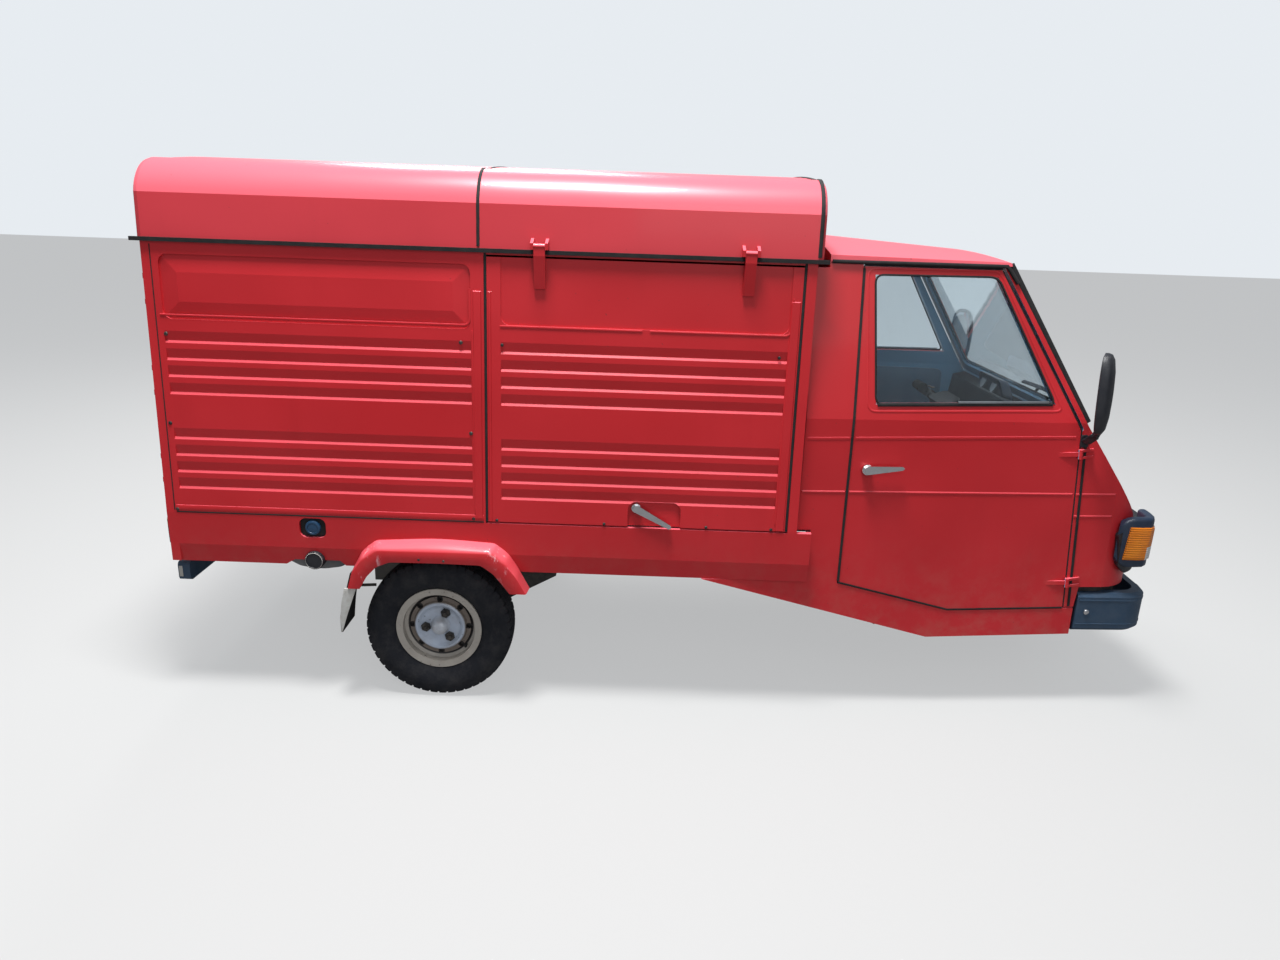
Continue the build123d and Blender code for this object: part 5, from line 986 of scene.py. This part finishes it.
# %% The flare's fold, lip and section
def stations(corners):
    """Points along a bent line, the same count on each run for every line, with softened corners."""
    corners = np.array(corners)
    counts = [16, 14, 14, 34, 30, 14, 14, 12]
    runs = [spread(corners[i : i + 2], count)[:-1] for i, count in enumerate(counts)]
    return softened(np.concatenate(runs + [corners[-1:]]))


fold = stations([(-1.053, 0.412), (-1.037, 0.468), (-1.003, 0.514), (-0.953, 0.549), (-0.760, 0.550),
                 (-0.592, 0.551), (-0.545, 0.518), (-0.505, 0.468), (-0.474, 0.412)])
lip = stations([(-1.014, 0.412), (-0.990, 0.455), (-0.957, 0.490), (-0.914, 0.508), (-0.760, 0.510),
                (-0.620, 0.508), (-0.580, 0.480), (-0.548, 0.440), (-0.527, 0.412)])
sheet = 0.003
away = unit(fold - np.array([-0.765, 0.40])) * (0.6, 1.0)
reach = 0.010 + 0.018 * np.clip((fold[:, 1:] - 0.46) / 0.07, 0, 1)
upper, lower = 0.9 * fold + 0.1 * lip, 0.06 * fold + 0.94 * lip
rows = [(fold + away * reach, 0.684), (fold + away * reach * 0.80, 0.704), (fold + away * reach * 0.35, 0.731),
        (fold, 0.7385), (upper, 0.7400), (lower, 0.7400), (lip, 0.7385)]
inner = [(lip, 0.7360), (lower, 0.7355), (upper, 0.7355), (fold - away * sheet, 0.7345),
         (fold + away * (reach * 0.35 - sheet), 0.727), (fold + away * (reach * 0.80 - sheet), 0.704),
         (fold + away * (reach - sheet), 0.684)]
loop = [np.stack([line[:, 0], np.full(len(line), -y), line[:, 1]], axis=1) for line, y in rows + inner]
flare = np.stack(loop, axis=1)
ends = [(edge + edge[::-1])[None] / 2 for edge in (flare[0], flare[-1])]
flare = np.concatenate([ends[0], flare, ends[1]])
shells = [(flare, False, True), (flare * (1, -1, 1), False, True)]
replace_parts(make_piece("wheel_flare_shells", shells, "root", "red", "flare_red"), "wheel_flares")

# %% [markdown]
# ## Wheels: nuts, hub dome and valve
# The disc is pressed steel, held by nuts round a domed cap. A nut is a six sided turning with its
# corners knocked off, so a lathe with six steps makes it. Each wheel's pieces ride on that wheel.

# %% Hub domes, nuts and valves
dome_profile = np.array([(0, 0.010), (0.033, 0.010), (0.033, 0.020), (0.031, 0.027), (0.028, 0.032), (0.027, 0.040),
                         (0.023, 0.048), (0.015, 0.053), (0.006, 0.055), (0.0055, 0.054), (0, 0.054)])
nut_profile = np.array([(0, 0.016), (0.0172, 0.016), (0.0172, 0.029), (0.0135, 0.034), (0.0085, 0.034),
                        (0.0078, 0.040), (0.0045, 0.0425), (0, 0.0425)])
for body, (centre, out) in wheel_table.items():
    centre = np.array(centre)
    way = np.array([0.0, out, 0.0])
    make_piece(body + "_hub_dome", [turned(dome_profile, centre, way, 40)], body, "rim", "hub_paint")
    turns = np.radians([188.0, 68.0, -52.0])
    spots = centre + 0.050 * np.stack([np.cos(turns), 0 * turns, np.sin(turns)], axis=1)
    nuts = [turned(nut_profile, spot, way, 6) for spot in spots]
    make_piece(body + "_nuts", nuts, body, "steel", "nut_black", smooth=False)
    stem = turned(np.array([(0, 0), (0.0045, 0), (0.0045, 0.018), (0.003, 0.020), (0, 0.020)]),
                  centre + (0.086, out * 0.020, -0.070), way, 12)
    make_piece(body + "_valve", [stem], body, "rubber")

# %% [markdown]
# ## Tyres
# A tyre is one closed section carried round the axle. The section follows the solid model's: bead,
# bulging side wall, shoulder and a nearly flat tread. The tread's grooves are a function of two
# parameters, the angle and the distance from the middle: three zigzag rings and a row of cuts on
# each shoulder push the surface in by 5 mm. Each tyre stands for its plain solid, which is hidden.


# %% Tyre surface
tyre_radius, bar_count, cut_count, groove_deep = 0.247, 30, 50, 0.0052


def tyre_section():
    """Closed loop of (across, radius, tread weight): tread, shoulder, bulging wall, bead and inside."""
    tread = np.linspace(-0.051, 0.051, 43)
    crown = tyre_radius - 0.004 * (tread / 0.051) ** 2
    shoulder = filled([(0.051, 0.243), (0.061, 0.228)], 6)[1:]
    wall = arc_through((0.061, 0.228), (0.069, 0.190), (0.044, 0.144), 18)[1:]
    bead = np.array([(0.042, 0.129), (0.030, 0.1272)])
    outer = np.concatenate([shoulder, wall, bead])
    weight = np.concatenate([np.ones(43), np.linspace(0.9, 0.15, len(shoulder)), np.zeros(len(wall) + len(bead))])
    section = np.concatenate([np.stack([tread, crown], axis=1), outer, outer[::-1] * (-1, 1)])
    weight = np.concatenate([weight, weight[43:][::-1]])
    return section, weight


def tyre_grid(centre, out):
    """Point at angle a: section point turned about the axle, pushed in by the groove depth there."""
    section, weight = tyre_section()
    angle = np.linspace(0, 2 * np.pi, 600, endpoint=False)[:, None]
    across = section[None, :, 0]
    zigzag = 0.0024 * (2 * np.abs((angle * bar_count / np.pi) % 1.0 * 2 - 1) - 1)
    rings = [np.clip(1.6 - np.abs(across - y - zigzag) / 0.0021, 0, 1) for y in (-0.022, 0.0, 0.022)]
    phase = (angle * cut_count / (2 * np.pi) + 6.0 * np.abs(across)) % 1.0
    cuts = np.clip(1.7 - np.abs(phase - 0.5) * 0.031 / 0.0022, 0, 1) * (np.abs(across) > 0.031)
    depth = groove_deep * weight * np.maximum(np.maximum.reduce(rings), cuts)
    walls = 0.0009 * np.exp(-(((section[:, 1] - 0.206) / 0.003) ** 2)) * (weight == 0)
    walls = walls + 0.0012 * np.exp(-(((section[:, 1] - 0.158) / 0.003) ** 2)) * (weight == 0)
    radius = section[None, :, 1] - depth
    wide = across * (1 + walls[None, :] / 0.066) * out
    grid = np.stack([radius * np.cos(angle), wide + 0 * angle, radius * np.sin(angle)], axis=-1)
    return grid + np.asarray(centre), True, True


for body, (centre, out) in wheel_table.items():
    solid = body.replace("wheel", "tyre")
    tyre = make_piece(solid + "_tread", [tyre_grid(centre, out)], body, "tyre")
    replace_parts(tyre, solid)

# %% [markdown]
# ## Filler caps
# Two caps sit in the rear of the right skirt: a blue one in a pressed recess and a larger black one
# with a pale ring on a small grey bracket. Both are lathe turned forms. The knurled rim of the black
# one comes from letting the radius ripple with the angle.

# %% Caps
skirt_out = (0, -1, 0)


def on_plane(y, places):
    """Points (x, z) set on the upright plane along the van at y."""
    return np.array([(x, y, z) for x, z in places])


blue_profile = [(0, -0.006), (0.025, -0.006), (0.025, 0.009), (0.0235, 0.013), (0.018, 0.0145), (0.017, 0.0125),
                (0.009, 0.0135), (0, 0.0138)]
blue_cap = turned(blue_profile, (-1.171, -0.678, 0.599), skirt_out, 48)
make_piece("blue_filler_cap", [blue_cap], "root", "black_plastic", "blue_plastic")
recess = on_plane(-0.679, [(-1.2125, 0.5675), (-1.1295, 0.5675), (-1.1295, 0.6305), (-1.2125, 0.6305)])
liner = slab(rounded(recess, 0.020, 8), skirt_out, 0.003, 0.001)
make_piece("cap_recess_liner", [liner], "root", "rubber")
black_profile = np.array([(0, -0.030), (0.031, -0.030), (0.031, 0.006), (0.029, 0.011), (0.025, 0.012),
                          (0.024, 0.010), (0.012, 0.0105), (0, 0.0112)])
middle = np.array([-1.171, -0.690, 0.488])
grid, _, wrap = turned(black_profile, middle, skirt_out, 96)
knurl = 0.018 * np.cos(np.arange(96) * 2 * np.pi / 4)[None, :, None]
ripple = 1 + knurl * (black_profile[:, :1] > 0.028)[:, None]
grid = (grid - middle) * np.concatenate([ripple, np.ones_like(ripple), ripple], axis=2) + middle
make_piece("black_filler_cap", [(grid, False, wrap)], "root", "black_plastic")
ring_profile = [(0.0262, 0.008), (0.0285, 0.007), (0.0292, 0.0102), (0.0270, 0.0122), (0.0262, 0.008)]
cap_ring = turned(ring_profile, middle, skirt_out, 48)
make_piece("black_cap_ring", [cap_ring], "root", "steel", "white_paint")
bracket = on_plane(-0.652, [(-1.276, 0.474), (-1.235, 0.452), (-1.185, 0.444), (-1.150, 0.444),
                            (-1.095, 0.453), (-1.066, 0.474), (-1.120, 0.500), (-1.225, 0.500)])
bracket = slab(rounded(bracket, 0.010, 5), skirt_out, 0.005)
make_piece("cap_bracket", [bracket], "root", "grey_plastic", "bracket_grey")

# %% [markdown]
# ## Mud flaps
# A mud flap is a rubber sheet that hangs from the flare's rear end and is held off the wheel by a
# thin stay. Its line is nearly straight with a slight bow, so it is drawn as a curve in x and z and
# needs no cloth. A thin pale plate on its outer edge is a painted highlight, for sunlight on that edge.

# %% Mud flaps and their pale edges
drop = np.linspace(0, 1, 25)
sheet_x = -1.046 - 0.040 * drop - 0.006 * np.sin(np.pi * drop)
sheet_z = 0.462 - 0.211 * drop
sheet_section = rounded([(-0.063, 0), (0.063, 0), (0.063, 0.005), (-0.063, 0.005)], 0.0020, 4)
sunlit_edge_outline = [(-1.0660, 0.4110), (-1.0270, 0.4110), (-1.0420, 0.370), (-1.0630, 0.310), (-1.0800, 0.2560),
             (-1.0850, 0.2515), (-1.0860, 0.300), (-1.0780, 0.360)]
flap_sheets, stays = [], []
for side, tag in both_sides:
    line = np.stack([sheet_x, np.full(25, side * 0.668), sheet_z], axis=1)
    flap_sheets.append(strip(line, sheet_section, (1, 0, 0)))
    stay_ends = [(-1.052, side * 0.650, 0.385), (-0.990, side * 0.640, 0.385)]
    stays.append(strip(stay_ends, bar_section(0.009, 0.009), (0, 0, 1)))
    # Painted highlight: a thin pale plate on the flap's outer edge, for sunlight on that edge.
    edge = slab(on_plane(side * 0.7325, sunlit_edge_outline), (0, side, 0), 0.004, 0.001)
    make_piece("mud_flap_sunlit_edge_" + tag, [edge], "root", "rubber", "white_paint")
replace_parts(make_piece("mud_flap_sheets", flap_sheets, "root", "rubber"), "mud_flaps")
make_piece("mud_flap_stays", stays, "root", "frame_black")

# %% [markdown]
# ## Mirrors
# Each mirror is a tall leaf of black plastic on a bent arm. The shell's outline is a superellipse,
# so it has flat sides and soft corners, and it is a little narrower at the foot. Rings of that
# outline, set back and shrunk step by step, make the domed back. These pieces stand for the plain
# solids, in the same place.


# %% Mirror shells, glass and arms
def leaf(count=64):
    """Outline (0.054 cos^0.75, 0.128 sin^0.75), made narrower towards its foot."""
    angle = np.linspace(0, 2 * np.pi, count, endpoint=False)
    across = np.sign(np.cos(angle)) * np.abs(np.cos(angle)) ** 0.75 * 0.054
    rise = np.sign(np.sin(angle)) * np.abs(np.sin(angle)) ** 0.75 * 0.128
    return np.stack([across * (1 + 0.9 * rise - 0.06), rise], axis=1)


def mirrored(grids):
    """The same grids on the other side of the van: y changes its sign."""
    return [(grid * (1, -1, 1), rows, columns) for grid, rows, columns in grids]


swing = math.radians(33)
glass_out = np.array([-math.cos(swing), math.sin(swing), 0.0])
tall = unit(np.array([-0.03, 0.04, 1.0]))
wide = unit(np.cross(tall, glass_out))
glass_out = np.cross(wide, tall)
head = np.array([1.306, -0.650, 1.120])
shape = leaf()
flat_leaf = shape[:, :1] * wide + shape[:, 1:] * tall
rim = [(0.0, 0.0035), (0.90, 0.0035), (0.93, 0.0), (1.0, 0.003), (1.0, 0.012), (0.97, 0.022), (0.86, 0.030),
       (0.60, 0.0355), (0.25, 0.0380), (0.0, 0.0385)]
shell = np.stack([head + scale * flat_leaf - back * glass_out for scale, back in rim])
glass = head + 0.885 * flat_leaf - 0.0033 * glass_out
arm = filled([(1.322, -0.576, 0.948), (1.324, -0.598, 0.956), (1.330, -0.626, 0.978), (1.332, -0.640, 1.004),
              (1.332, -0.646, 1.030)], 5)
plate = [(1.308, -0.5768, 0.930), (1.337, -0.5745, 0.930), (1.334, -0.5740, 0.972), (1.308, -0.5762, 0.972)]
shell_grids = [(shell, False, True), strip(arm, bar_section(0.026, 0.015), (0.4, -0.4, 0.8)),
               slab(rounded(plate, 0.008, 5), (0, -1, 0), 0.010)]
glass_grids = [slab(glass, glass_out, 0.0012, 0.0005)]
for side, tag in both_sides:
    flip = mirrored if side == left else list
    made = make_piece("mirror_shell_" + tag, flip(shell_grids), "root", "black_plastic")
    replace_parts(made, "mirrors")
    make_piece("mirror_glass_" + tag, flip(glass_grids), "root", "glass", "mirror_silver")

# %% [markdown]
# ## Turn lamps at the nose corners
# The turn lamp wraps round the corner of the nose. A rounded upright section is carried along the
# lamp's line in plan, first for the dark housing and then, a little prouder, for the lens. The rear
# end of the lens leans, which a shift by height gives.


# %% Lamp housings and lenses
def upright_section(thick, tall, corner):
    """Rounded rectangle from 0 to the thickness inwards, and up and down by half the height."""
    return rounded([(0, -tall / 2), (0, tall / 2), (-thick, tall / 2), (-thick, -tall / 2)], corner, 6)


def level_line(plan, height, steps):
    """Points (x, y) of a plan set at one height, with more points between them."""
    return filled(np.column_stack([plan, np.full(len(plan), height)]), steps)


plan = np.array([(1.490, -0.5835), (1.503, -0.5920), (1.530, -0.5955), (1.562, -0.5960), (1.590, -0.5910),
                 (1.606, -0.5780), (1.617, -0.5560), (1.623, -0.5250), (1.6255, -0.4900)])
housing_grid, _, housing_wrap = strip(level_line(plan, 0.6100, 4), upright_section(0.030, 0.176, 0.012), (0, 0, 1))
rear_end = np.clip((1.545 - housing_grid[..., 0]) / 0.056, 0, 1)
taper = 0.45 + 0.55 * np.sqrt(1 - rear_end**2)
housing_grid[..., 2] = 0.604 + (housing_grid[..., 2] - 0.604) * taper
housing = (housing_grid, False, housing_wrap)
outwards = unit(np.gradient(plan[2:], axis=0)) @ np.array([[0, -1], [1, 0]])
lens_plan = plan[2:] + 0.0055 * outwards
lens_plan[0, 0] -= 0.012
lens_grid, _, lens_wrap = strip(level_line(lens_plan, 0.6080, 5), upright_section(0.024, 0.118, 0.010), (0, 0, 1))
lean = np.clip((1.545 - lens_grid[..., 0]) / 0.03, 0, 1) * (lens_grid[..., 2] - 0.608) * 0.07
lens_grid = lens_grid + lean[..., None] * (1, 0, 0)
for side, tag in both_sides:
    flip = mirrored if side == left else list
    make_piece("lamp_housing_" + tag, flip([housing]), "root", "black_plastic", "navy_plastic")
    made = make_piece("turn_lens_" + tag, flip([(lens_grid, False, lens_wrap)]), "root", "amber")
    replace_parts(made, "indicators")

# %% [markdown]
# ## Wiper
# The wiper is a flat arm that bends down to a thin blade. Both are strips along a path on the
# screen's plane, and the pivot is a small turned cap.

# %% Wiper
arm = screen_point(np.array([-0.15, -0.16, -0.22, -0.34]), np.array([-0.002, 0.030, 0.060, 0.075]), 0.014)
blade = screen_point(np.linspace(-0.50, -0.10, 9), 0.064 + 0.010 * np.cos(np.linspace(-1.5, 1.5, 9)), 0.009)
pivot_profile = np.array([(0, -0.004), (0.014, -0.004), (0.014, 0.012), (0.010, 0.018), (0, 0.019)])
pivot = turned(pivot_profile, screen_point(np.array(-0.15), np.array(0.0)), screen_out, 24)
wiper = [strip(filled(arm, 5), bar_section(0.011, 0.006), screen_out),
         strip(blade, bar_section(0.008, 0.014), screen_out), pivot]
make_piece("wiper", wiper, "root", "black_plastic")

# %% [markdown]
# ## Front bumper
# The moulded bumper has a fine raised line above and below, and one bright rivet at each end. The
# lines follow its plan: nearly straight sides, an arc at the corner and a slightly curved front. A
# black sheet behind it, painted shade, fills the gap under the nose so the backdrop does not show.

# %% Bumper rivets and the line round the bumper
bumper_low, bumper_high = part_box("front_bumper")
bumper_half = bumper_high.y
rivet_profile = np.array([(0, -0.001), (0.0095, -0.001), (0.0090, 0.002), (0.006, 0.004), (0, 0.005)])
rivets = [turned(rivet_profile, (1.432, side * bumper_half, 0.352), (0, side, 0), 20) for side in (right, left)]
make_piece("bumper_rivets", rivets, "root", "steel", "chrome")
corner_arc = arc_through((1.576, 0.578), (1.640, 0.544), (1.660, 0.474), 9)
half_plan = np.concatenate([[(1.402, 0.5878), (1.576, 0.5780)], corner_arc[1:], [(1.668, 0.30), (1.672, 0.0)]])
plan_line = np.concatenate([half_plan * (1, -1), half_plan[::-1][1:]])
for name, height, tall in (("bumper_upper_line", 0.3930, 0.0070), ("bumper_lower_line", 0.3060, 0.0045)):
    line = strip(level_line(plan_line, height, 4), bar_section(0.0035, tall), (0, 0, 1))
    make_piece(name, [line], "root", "grey_plastic")
# Painted shade: a black sheet behind the bumper stands for the shade under the nose.
inside = np.array([(1.372, -0.560), (1.470, -0.556), (1.548, -0.512), (1.588, -0.412), (1.600, 0.0)])
inside = np.concatenate([inside, inside[-2::-1] * (1, -1)])
shade_filler = strip(level_line(inside, 0.400, 6), bar_section(0.006, 0.110), (0, 0, 1))
make_piece("nose_shade_filler", [shade_filler], "root", "frame_black")

# %% [markdown]
# ## Rear board
# The back of the van is not in the picture, so it follows the type: a blank pale plate on the lower
# panel, a small lamp above it and two round reflectors. The plate carries no characters.

# %% Plate, plate lamp and reflectors
rear_x = -1.640


def on_rear(x, places):
    """Points (y, z) set on the upright plane across the van at x."""
    return np.column_stack([np.full(len(places), x), places])


plate_line = rounded([(-0.17, 0.508), (0.17, 0.508), (0.17, 0.612), (-0.17, 0.612)], 0.010, 6)
plate_line = on_rear(rear_x - 0.004, plate_line)
make_piece("blank_plate", [slab(plate_line, (-1, 0, 0), 0.0022, 0.001)], "root", "red", "plate_white")
lamp_line = rounded([(-0.042, 0.622), (0.042, 0.622), (0.036, 0.648), (-0.036, 0.648)], 0.008, 6)
lamp_line = on_rear(rear_x, lamp_line)
make_piece("plate_lamp", [slab(lamp_line, (-1, 0, 0), 0.030, 0.008)], "root", "black_plastic")
reflector_profile = np.array([(0, 0), (0.027, 0), (0.027, 0.006), (0.0245, 0.008), (0.0235, 0.0075), (0, 0.0095)])
reflectors = [turned(reflector_profile, (rear_x, y, 0.500), (-1, 0, 0), 36) for y in (-0.33, 0.33)]
make_piece("rear_reflectors", reflectors, "root", "tail_red")

# %% [markdown]
# ## Fuel tank
# The tank is two pressed halves with a welded flange between them. Its section, a rectangle with one
# well rounded corner, is carried along the van; rings that shrink at the ends give the domed ends,
# and one ring in the middle stands out as the flange. It replaces the plain solid.

# %% Fuel tank
tank_section = [(-0.646, 0.572), (-0.646, 0.498), (-0.572, 0.434), (-0.319, 0.434), (-0.319, 0.572)]
tank_section = rounded(tank_section, 0.026, 8)
tank_middle = np.array([-0.482, 0.503])
tank_rings = np.array([  # (place along the van, share of the section)
    (-1.399, 0.0), (-1.399, 0.62), (-1.397, 0.80), (-1.391, 0.93), (-1.380, 0.985), (-1.246, 0.985),
    (-1.245, 1.012), (-1.237, 1.012), (-1.236, 0.985), (-1.102, 0.985), (-1.091, 0.93), (-1.085, 0.80),
    (-1.083, 0.62), (-1.083, 0.0),
])
ring = tank_middle + tank_rings[:, 1, None, None] * (tank_section - tank_middle)[None]
along = np.broadcast_to(tank_rings[:, 0, None, None], ring.shape[:2] + (1,))
tank = [(np.concatenate([along, ring], axis=2), False, True)]
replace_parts(make_piece("tank_shell", tank, "root", "black_plastic", "tank_black"), "fuel_tank")

# %% [markdown]
# ## Inside the cab
# Through the side window show the handlebar's grips and levers, a hood with two round dials, and the
# vinyl cards of the doors. The grips are lathe turned with a ripple along their length, and they
# ride on the steering, so they turn with the bar. The cards ride on the doors.

# %% Grips, levers, dials and door cards
grip_long = 0.086
along_grip = np.linspace(0, grip_long, 44)
ripple = 0.0182 + 0.0010 * np.sin(along_grip / grip_long * 2 * np.pi * 9)
collar = [(0.0215, grip_long), (0.0215, 0.090), (0, 0.090)]
grip_profile = np.concatenate([[(0, 0)], np.stack([ripple, along_grip], axis=1), collar])
grips = [turned(grip_profile, (1.029, side * 0.3015, 0.963), (0, -side, 0), 28) for side in (right, left)]
make_piece("handlebar_grips", grips, "steering", "rubber")
lever = filled([(1.062, 0.208, 0.966), (1.082, 0.240, 0.962), (1.078, 0.296, 0.956)], 6)
levers = [strip(lever * (1, side, 1), bar_section(0.010, 0.006), (0, 0, 1)) for side in (right, left)]
make_piece("handlebar_levers", levers, "steering", "steel")
hood_line = [(1.262, -0.135, 0.986), (1.262, 0.135, 0.986), (1.246, 0.105, 1.052), (1.246, -0.105, 1.052)]
hood = slab(rounded(hood_line, 0.022, 7), (-1, 0, 0.25), 0.040, 0.007)
make_piece("dial_hood", [hood], "root", "black_plastic", "navy_plastic")
dial_profile = [(0, 0.0), (0.024, 0.0), (0.024, 0.003), (0.0225, 0.005), (0.021, 0.003), (0.012, 0.002), (0, 0.0022)]
dials = [turned(dial_profile, (1.2125, y, 1.027), (-1, 0, 0.25), 36) for y in (-0.052, 0.052)]
make_piece("dial_rims", dials, "root", "chrome", "satin_trim")
card_corners = rounded([(0.585, 0.490), (0.950, 0.400), (1.230, 0.405), (1.210, 0.990), (0.585, 0.990)], 0.030)
for side, body in door_of.items():
    card = cab_point(card_corners[:, 0], card_corners[:, 1], -0.034, side)
    make_piece(body + "_card", [slab(card, (0, -side, 0), 0.006, 0.002)], body, "vinyl", "card_vinyl")

# %% [markdown]
# ## Bench seat
# A foam pad under vinyl is not a block: it is crowned, its sides pull in between the corners, and it
# dips where it is sewn. Here the solid is made a little smaller, given an even mesh by a voxel
# remesh, and blown up as cloth under pressure. The side that rests on something and the sewn
# channels are pinned. Each point's way is capped, so the pad fills its place and no more. The
# result is written into the mesh, and one subdivision smooths it.


# %% Points and modifiers of a mesh
def points_of(mesh):
    """All vertex positions as one array."""
    flat = np.empty(len(mesh.vertices) * 3)
    mesh.vertices.foreach_get("co", flat)
    return flat.reshape(-1, 3)


def work_in(piece):
    """Replaces the mesh by what its modifiers give and takes the modifiers off."""
    graph = bpy.context.evaluated_depsgraph_get()
    made = bpy.data.meshes.new_from_object(piece.evaluated_get(graph))
    piece.modifiers.clear()
    piece.data = made


print("cushion solid:", len(points_of(nodes["seat_cushion"].data)), "points before the even mesh")

# %% [markdown]
# ## Blowing up a pad
# The pressure runs for a few frames only, enough for the vinyl to round out between its channels. The
# solver gives the same result each time, since its start, its frames and its forces are fixed.


# %% Cushion and backrest
channel_y, channel_half, voxel, pressure, steps = 0.163, 0.0045, 0.007, 4.0, 20


def pad(name, node, resting, margin=0.018, cap=0.0175):
    """Start + the capped way that pressure moves each point; channels and the resting side stay."""
    piece = bpy.data.objects.new(name, nodes[node].data.copy())
    bpy.context.scene.collection.objects.link(piece)
    low, high = (np.array(corner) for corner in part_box(node))
    new_low, new_high = low + margin, high - margin
    new_low[resting] = low[resting]
    points = new_low + (points_of(piece.data) - low) * (new_high - new_low) / (high - low)
    piece.data.vertices.foreach_set("co", points.ravel())
    remesh = piece.modifiers.new("even", "REMESH")
    remesh.mode, remesh.voxel_size = "VOXEL", voxel
    work_in(piece)
    start = points_of(piece.data)
    channel = np.abs(np.abs(start[:, 1]) - channel_y) < channel_half
    held = (start[:, resting] < low[resting] + 0.010) | channel
    group = piece.vertex_groups.new(name="held")
    group.add(np.flatnonzero(held).tolist(), 1.0, "REPLACE")
    cloth = piece.modifiers.new("cloth", "CLOTH")
    cloth.settings.use_pressure = True
    cloth.settings.uniform_pressure_force = pressure
    cloth.settings.vertex_group_mass = "held"
    cloth.settings.effector_weights.gravity = 0.0
    for step in range(1, steps + 1):
        bpy.context.scene.frame_set(step)
    work_in(piece)
    bpy.context.scene.frame_set(1)
    way = points_of(piece.data) - start
    length = np.linalg.norm(way, axis=1, keepdims=True)
    kept = start + way * np.minimum(1.0, cap / np.maximum(length, 1e-9))
    piece.data.vertices.foreach_set("co", np.clip(kept, low + 0.0005, high - 0.0005).ravel())
    piece.modifiers.new("smooth", "SUBSURF").levels = 1
    work_in(piece)
    piece.vertex_groups.clear()
    piece.data.materials.clear()
    piece.data.materials.append(finishes["seat_vinyl"])
    piece.data.polygons.foreach_set("use_smooth", np.ones(len(piece.data.polygons), bool))
    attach(piece, "root")
    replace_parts(piece, node)
    print(name, "faces", len(piece.data.polygons), "moved up to", round(float(length.max()), 4))


pad("bench_cushion", "seat_cushion", 2)
pad("bench_backrest", "seat_backrest", 0)

# %% [markdown]
# ## Tail lamp rims
# Each tail lamp sits in a black frame. The frame is a strip round the lamp's own outline, which is
# measured from the solid, so the frame fits whatever the lamp's size is.

# %% Rims round the tail lamps
lamp_points = points_of(nodes["tail_lamps"].data)
lamp_points = lamp_points[lamp_points[:, 1] > 0]
(back_x, low_y, low_z), (front_x, high_y, high_z) = lamp_points.min(axis=0), lamp_points.max(axis=0)
around = 0.001
low_y, low_z, high_y, high_z = low_y - around, low_z - around, high_y + around, high_z + around
rim_line = rounded([(low_y, low_z), (high_y, low_z), (high_y, high_z), (low_y, high_z)], 0.014, 7)
rim_section = bar_section(0.006, 0.8 * (front_x - back_x))
half_way = 0.5 * (front_x + back_x)
rims = [strip(on_rear(half_way, rim_line * (side, 1)), rim_section, (-1, 0, 0), True) for side in (right, left)]
make_piece("tail_lamp_rims", rims, "root", "black_plastic")

# %% [markdown]
# ## Beads beside the pressed grooves
# A pressed panel is stiffened by a small raised bead where its flat border meets the deep part. The
# bead runs under the window recess, turns up at the recess's corner and follows the groove ends
# down. It is only 2 mm high, so light shows it more than its outline does.

# %% Beads of the pressed panels
bead_section, bead_out = bar_section(0.0070, 0.0032), 0.0004


def panel_bead(corners, side, radius=0.018):
    """Bead on the box's side through corners (x, z): the last leg turns up by a rounded corner."""
    (x0, z0), (x1, z1), (x2, z2) = corners
    angles = np.linspace(-np.pi / 2, 0.0, 7)
    turn = np.stack([x1 - radius + radius * np.cos(angles), z1 + radius + radius * np.sin(angles)], axis=1)
    legs = [filled([(x0, z0), (x1 - radius, z1)], 30)[:-1], turn, filled([(x1, z1 + radius), (x2, z2)], 12)[1:]]
    line = np.concatenate(legs)
    return strip(box_point(line[:, 0], line[:, 1], bead_out, side), bead_section, box_normal[side])


bead_z = 1.2665
rear_panel = [panel_bead([(-1.599, bead_z), (-0.652, bead_z), (-0.652, 1.376)], right),
              box_strip((-0.645, 1.250), (-0.640, 0.668), bead_out, bead_section, right, 24)]
make_piece("panel_bead_right", rear_panel, "root", "red")
on_flap = [box_strip((-0.560, bead_z), (-0.124, bead_z), bead_out, bead_section, right, 24),
           panel_bead([(-0.100, bead_z), (0.331, bead_z), (0.331, 1.378)], right),
           box_strip((0.328, 1.250), (0.324, 0.668), bead_out, bead_section, right, 24)]
make_piece("flap_bead", on_flap, "side_flap", "red")
left_wall = [panel_bead([(-1.599, bead_z), (0.331, bead_z), (0.331, 1.376)], left)]
make_piece("panel_bead_left", left_wall, "root", "red")

# %% [markdown]
# ## Corner posts
# At the rear corners the wall panel meets the post in an upright seam, which shows as a dark line 3 mm
# wide.

# %% Lines of the corner posts
post_x = -1.6125
for side, tag in both_sides:
    post = box_strip((post_x, 1.476), (post_x, 0.646), 0.0002, bar_section(0.0032, 0.0020), side, 30)
    make_piece("post_line_" + tag, [post], "root", "rubber")

# %% [markdown]
# ## Rear bumper ends
# The rear edge of each end of the bumper is marked with a white strip. Its place is measured from the
# bumper's own corners.

# %% White ends of the rear bumper
bumper_points = points_of(nodes["rear_bumper"].data)
bumper_low, bumper_high = bumper_points.min(axis=0), bumper_points.max(axis=0)
end_x, foot_z, head_z = bumper_low[0] + 0.009, bumper_low[2] + 0.014, bumper_low[2] + 0.052
ends = []
for side in (right, left):
    end_y = side * (bumper_high[1] - 0.0004)
    line = filled([(end_x, end_y, foot_z), (end_x, end_y, head_z)], 16)
    ends.append(strip(line, bar_section(0.013, 0.0018), (0, side, 0)))
make_piece("bumper_end_marks", ends, "root", "steel", "white_paint")
